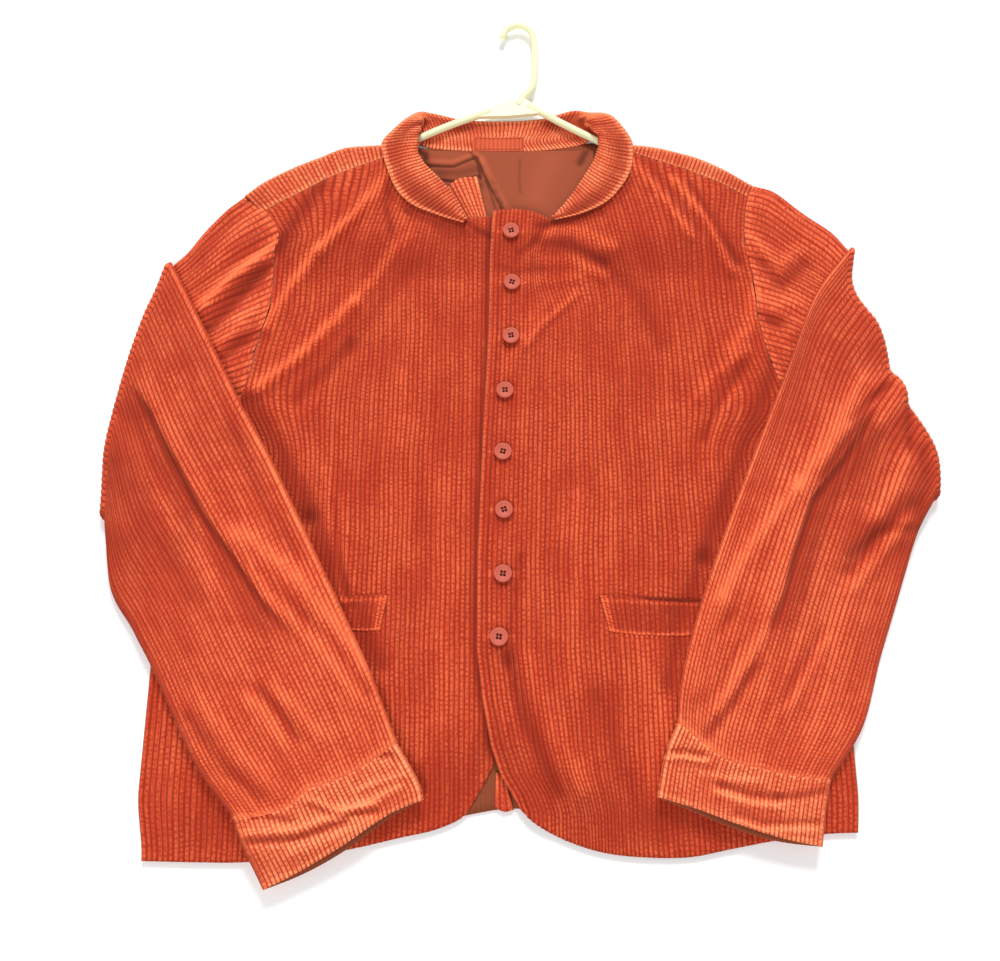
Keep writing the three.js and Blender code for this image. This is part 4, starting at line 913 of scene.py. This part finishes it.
# near-black discs standing in for the holes: painted shade
HOLE_SHADE = plain("button_hole_shade", (0.045, 0.008, 0.006), 0.9, specular=0.05)
THREAD = plain("thread", (0.24, 0.035, 0.018), 0.9, specular=0.1)
HOLE_CIRCLE = 1.95  # from the button's middle to the middle of each hole
HOLE_RADIUS = 1.3
HOLE_HEIGHT = 1.98  # just above the dish
STITCH_OUT = 1.48
STITCH_LENGTH = 3.0
THREAD_RADIUS = 0.2
PROFILE = [  # radius and height, from the middle of the underside round the rim to the dish
    (0, 0), (6.4, 0), (7.6, 0.5), (8, 1.4), (8, 2.1), (7.5, 2.8), (6.6, 3.0), (5.9, 2.6), (5.2, 2.0),
    (0, 1.9),
]


def piece_of(bm, name, materials):
    """The shaped mesh as a piece of its own, at the origin."""
    mesh = bpy.data.meshes.new(name)
    bm.to_mesh(mesh)
    bm.free()
    for material in materials:
        mesh.materials.append(material)
    piece = bpy.data.objects.new(name, mesh)
    bpy.context.scene.collection.objects.link(piece)
    return piece


def use_material(made, index):
    for face in {face for vert in made["verts"] for face in vert.link_faces}:
        face.material_index = index


for i in range(1, 9):
    low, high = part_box(f"button_{i}")
    bm = bmesh.new()
    ring = [bm.verts.new((r / 1000, 0, z / 1000)) for r, z in PROFILE]
    edges = [bm.edges.new(pair) for pair in zip(ring, ring[1:])]
    bmesh.ops.spin(
        bm, geom=[*ring, *edges], axis=(0, 0, 1), cent=(0, 0, 0), angle=2 * math.pi, steps=40, use_merge=True)
    bmesh.ops.remove_doubles(bm, verts=bm.verts, dist=1e-6)
    for face in bm.faces:
        face.smooth = True
    turn = 0.3 * math.sin(i * 2.3)
    # each hole is a dark disc just above the dish: painted shade standing in for the hole
    for k in range(4):
        a = turn + math.pi / 4 + k * math.pi / 2
        spot = Vector((HOLE_CIRCLE * math.cos(a), HOLE_CIRCLE * math.sin(a), HOLE_HEIGHT)) / 1000
        hole_shade_disc = bmesh.ops.create_circle(bm, cap_ends=True, segments=14, radius=HOLE_RADIUS / 1000)
        bmesh.ops.translate(bm, verts=hole_shade_disc["verts"], vec=spot)
        use_material(hole_shade_disc, 1)
    for k in (0, 1):
        a = turn + k * math.pi / 2
        along = Vector((math.cos(a), math.sin(a), 0))
        aside = Vector((-math.sin(a), math.cos(a), 1.35)) * STITCH_OUT / 1000
        lying = Vector((0, 0, 1)).rotation_difference(along).to_matrix()
        thread = bmesh.ops.create_cone(
            bm, cap_ends=True, segments=8, radius1=THREAD_RADIUS / 1000, radius2=THREAD_RADIUS / 1000,
            depth=STITCH_LENGTH / 1000)
        bmesh.ops.rotate(bm, verts=thread["verts"], cent=(0, 0, 0), matrix=lying)
        bmesh.ops.translate(bm, verts=thread["verts"], vec=aside)
        use_material(thread, 2)
    bmesh.ops.recalc_face_normals(bm, faces=bm.faces)
    foot = Vector(((low.x + high.x) / 2, (low.y + high.y) / 2, low.z))
    bmesh.ops.translate(bm, verts=bm.verts, vec=foot)
    button = piece_of(bm, f"button_{i}_shape", [BUTTON, HOLE_SHADE, THREAD])
    place_piece(button, f"button_{i}")

# Back lining: a smooth woven lining, sewn in along the neck and lying on the back with a few slack
# folds. Below the neck's opening it goes on out of sight, under the fronts.
LINING = plain("lining", (0.31, 0.070, 0.033), 0.85, specular=0.1, weave=0.2, shaded=(0.12, 0.027, 0.013))
LINING_FOLDS = [  # columns as in BODY_FOLDS
    (-72, 329, -47, 328, -24, 339, -1.8, 1.5), (-72, 334, -47, 333, -28, 341, 0.9, 3),
    (-65, 313, -44, 311, -20, 317, -2.2, 1.6), (-60, 321, -42, 320, -20, 325, -0.9, 5),
    (-29, 344, -22, 332, -19, 314, -1.8, 1.4), (-25, 345, -18, 333, -15, 316, 1.0, 2.6),
    (-23, 338, -11, 308, 4, 276, -1.9, 1.3), (-18, 338, -7, 310, 8, 278, 0.8, 2.8),
    (-18, 323, -9, 297, -4, 277, -1.3, 1.2), (-8, 313, -2, 297, 2, 285, -1.0, 1.2),
    (20, 336, 19, 314, 20, 298, -0.7, 1.4), (-81, 346, -75, 342, -73, 326, -2.0, 3.5),
    (88, 355, 86, 344, 80, 332, -1.6, 4), (50, 335, 40, 310, 34, 285, 0.4, 14),
    (-60, 300, -38, 300, -20, 306, -1, 5),
]
u, v = np.linspace(0, 1, 181), np.linspace(0, 1, 101)
lining_top = [(-86, 347), (-50, 346.5), (0, 346), (50, 346.5), (94, 347)]
flat = patch([(-84, 247), (0, 247), (92, 247)], lining_top, [], [], u, v)
slack = folds(LINING_FOLDS, flat[..., 0], flat[..., 1])
z = 3.6 + 0.5 * np.maximum(slack, -1.6) * smooth(flat[..., 1], 262, 276)
points = np.dstack([flat, z])
# the slack folds also set the colour: painted shade in their creases, painted light on their ridges
lining = cloth("lining_cloth", points, u * 10, v * 97, [LINING], wall=0.7, wear_and_painted_light=0.28 * slack, painted_slope_light=0.5)
place_piece(lining, "back_lining")

# Neck strip: the top of the under front's facing, a strip of the same corduroy, which is turned back on
# the lining and lies loose there.
u, wales = quarter_wales(32)
v = np.linspace(0, 1, 16)
flat = patch([(-33, 267), (-22, 266.5), (-12, 266)], [(-53, 301), (-42, 312), (-22, 315)], [], [], u, v)
z = np.full(flat.shape[:2], 6.2) + 0.8 * v[:, None]
points = ribbed(np.dstack([flat, z]), wales)
facing = cloth("neck_strip", points, wales, v * 46, [TRIM, REVERSE], wall=1.4, wear_and_painted_light=0.3)
place_piece(facing, "neck_facing")

# Label: a small woven label, left bare here, with its edges turned in and sewn down round its rim to
# the inside of the neck.
LABEL = plain(
    "label_weave", (0.56, 0.095, 0.042), 0.9, specular=0.05, weave=0.8, shaded=(0.26, 0.035, 0.015))
LABEL_WIDTH = 51
LABEL_DEPTH = 16
u, v = np.linspace(0, 1, 121), np.linspace(0, 1, 41)
flat = patch([(-27, 347), (-1, 346.6), (24, 347)], [(-27, 363), (-1, 362.6), (24, 363)], [], [], u, v)
wales_below = np.sin(u * LABEL_WIDTH * 2 * math.pi / WALE)[None]
z = 3.6 + 0.25 * np.sin(u * 9)[None] * v[:, None] + 0.12 * wales_below
from_end = np.minimum(u, 1 - u)[None] * LABEL_WIDTH
from_rim = np.minimum(from_end, np.minimum(v, 1 - v)[:, None] * LABEL_DEPTH)
wear_and_painted_light = 0.3 * np.exp(-(from_rim / 0.7) ** 2) - 0.5 * np.exp(-((from_rim - 1.6) / 0.5) ** 2)
# painted light on the tops of the faint ribs that the wales beneath press up, painted shade between them
wear_and_painted_light = wear_and_painted_light + 0.14 * wales_below
label = cloth("label_cloth", np.dstack([flat, z]), u * 8, v * 15, [LABEL], wall=0.5, wear_and_painted_light=wear_and_painted_light)
place_piece(label, "label")

# Hanger: one pale moulded body, a round tube bent to the shoulders' slope and closed by a bar below,
# with a flat hub at the neck and a hook above it. It lies loose inside the jacket.
PLASTIC = plain("hanger_plastic", (0.82, 0.82, 0.50), 0.4, specular=0.3)
TUBE_RADIUS = 3.6
HOOK_RADIUS = 3.4
HUB_THICKNESS = 4.6
hanger_z = 3.7 + TUBE_RADIUS  # its middle: the back, the lining and a little air lie below it
HANGER_PATH = [(-10, 390), (-26, 384), (-52, 373), (-78, 360), (-117, 336), (-160, 318), (-190, 300),
               (-204, 284), (-203, 270), (-190, 262), (-170, 261), (-80, 261), (0, 261), (90, 261),
               (172, 261), (194, 263), (208, 271), (210, 285), (197, 301), (165, 323), (130, 338),
               (97, 356), (66, 374), (40, 390), (28, 396)]
HANGER_HOOK = [(18, 397), (24, 408), (33, 420), (35, 432), (35, 478), (30, 491), (18.5, 496), (7, 491),
               (2, 480)]
HUB = [(-26, 386), (0, 397), (14, 404), (26, 404), (40, 393), (38, 387), (10, 384), (-20, 383)]


def tube(path, radius, steps, sides=20):
    """A closed round tube along the smooth line through the path."""
    p = curve(path, np.linspace(0, 1, steps))
    ahead = np.gradient(p, axis=0)
    ahead /= np.linalg.norm(ahead, axis=1, keepdims=True)
    side = np.cross(ahead, [0, 0, 1.0])
    side /= np.linalg.norm(side, axis=1, keepdims=True)
    lift = np.cross(side, ahead)
    turn = np.linspace(0, 2 * math.pi, sides + 1)[None, :, None]
    points = p[:, None] + radius * (side[:, None] * np.cos(turn) + lift[:, None] * np.sin(turn))
    bm = bmesh.new()
    bmesh.ops.create_grid(bm, x_segments=sides, y_segments=steps - 1, size=1)
    for vert, place in zip(bm.verts, (points / 1000 + to_row).reshape(-1, 3)):
        vert.co = place
    bmesh.ops.remove_doubles(bm, verts=bm.verts, dist=1e-6)
    bmesh.ops.holes_fill(bm, edges=bm.edges, sides=sides + 2)
    bmesh.ops.recalc_face_normals(bm, faces=bm.faces)
    for face in bm.faces:
        face.smooth = len(face.verts) < 5
    return bm


for name, path, radius, steps in (
        ("hanger_tube", HANGER_PATH, TUBE_RADIUS, 200), ("hanger_hook", HANGER_HOOK, HOOK_RADIUS, 70)):
    bm = tube([(x, y, hanger_z) for x, y in path], radius, steps)
    place_piece(piece_of(bm, name, [PLASTIC]), "hanger")
bm = bmesh.new()
hub_z = hanger_z - HUB_THICKNESS / 2
face = bm.faces.new([bm.verts.new(np.array([x, y, hub_z]) / 1000 + to_row) for x, y in HUB])
raised = bmesh.ops.extrude_face_region(bm, geom=[face])["geom"]
raised = [part for part in raised if isinstance(part, bmesh.types.BMVert)]
bmesh.ops.translate(bm, verts=raised, vec=(0, 0, HUB_THICKNESS / 1000))
bmesh.ops.recalc_face_normals(bm, faces=bm.faces)
place_piece(piece_of(bm, "hanger_hub", [PLASTIC]), "hanger")

# Surface, light and camera: a pale floor, a wide soft light over the collar end, a weaker one behind
# the camera, and the camera at the photograph's angle, a metre from the middle of the jacket.
bm = bmesh.new()
bmesh.ops.create_grid(bm, x_segments=1, y_segments=1, size=6)
bmesh.ops.translate(bm, verts=bm.verts, vec=(0, 0, -0.0005))
floor = piece_of(bm, "floor", [plain("floor_paper", (0.93, 0.93, 0.93), 0.9, specular=0.1)])

for name, place, power, width in (("key", (0.3, 3.2, 3.0), 160, 1.3), ("fill", (-0.8, -2.6, 2.8), 92, 2.0)):
    light = bpy.data.lights.new(name, "AREA")
    light.energy, light.size = power, width
    lamp = bpy.data.objects.new(name, light)
    lamp.location = place
    lamp.rotation_euler = (-Vector(place)).to_track_quat("-Z", "Y").to_euler()
    bpy.context.scene.collection.objects.link(lamp)
world = bpy.data.worlds.new("soft_light")
world.use_nodes = True
world.node_tree.nodes["Background"].inputs["Color"].default_value = (1, 1, 1, 1)
world.node_tree.nodes["Background"].inputs["Strength"].default_value = 0.42
bpy.context.scene.world = world
bpy.context.scene.view_settings.view_transform = "Standard"

lens = bpy.data.cameras.new("camera")
lens.lens, lens.sensor_width = 39.6, 36
camera = bpy.data.objects.new("camera", lens)
tilt = math.radians(18)
camera.location = (to_row[0], to_row[1] - math.sin(tilt), math.cos(tilt))
camera.rotation_euler = (tilt, 0, 0)
bpy.context.scene.collection.objects.link(camera)
bpy.context.scene.camera = camera
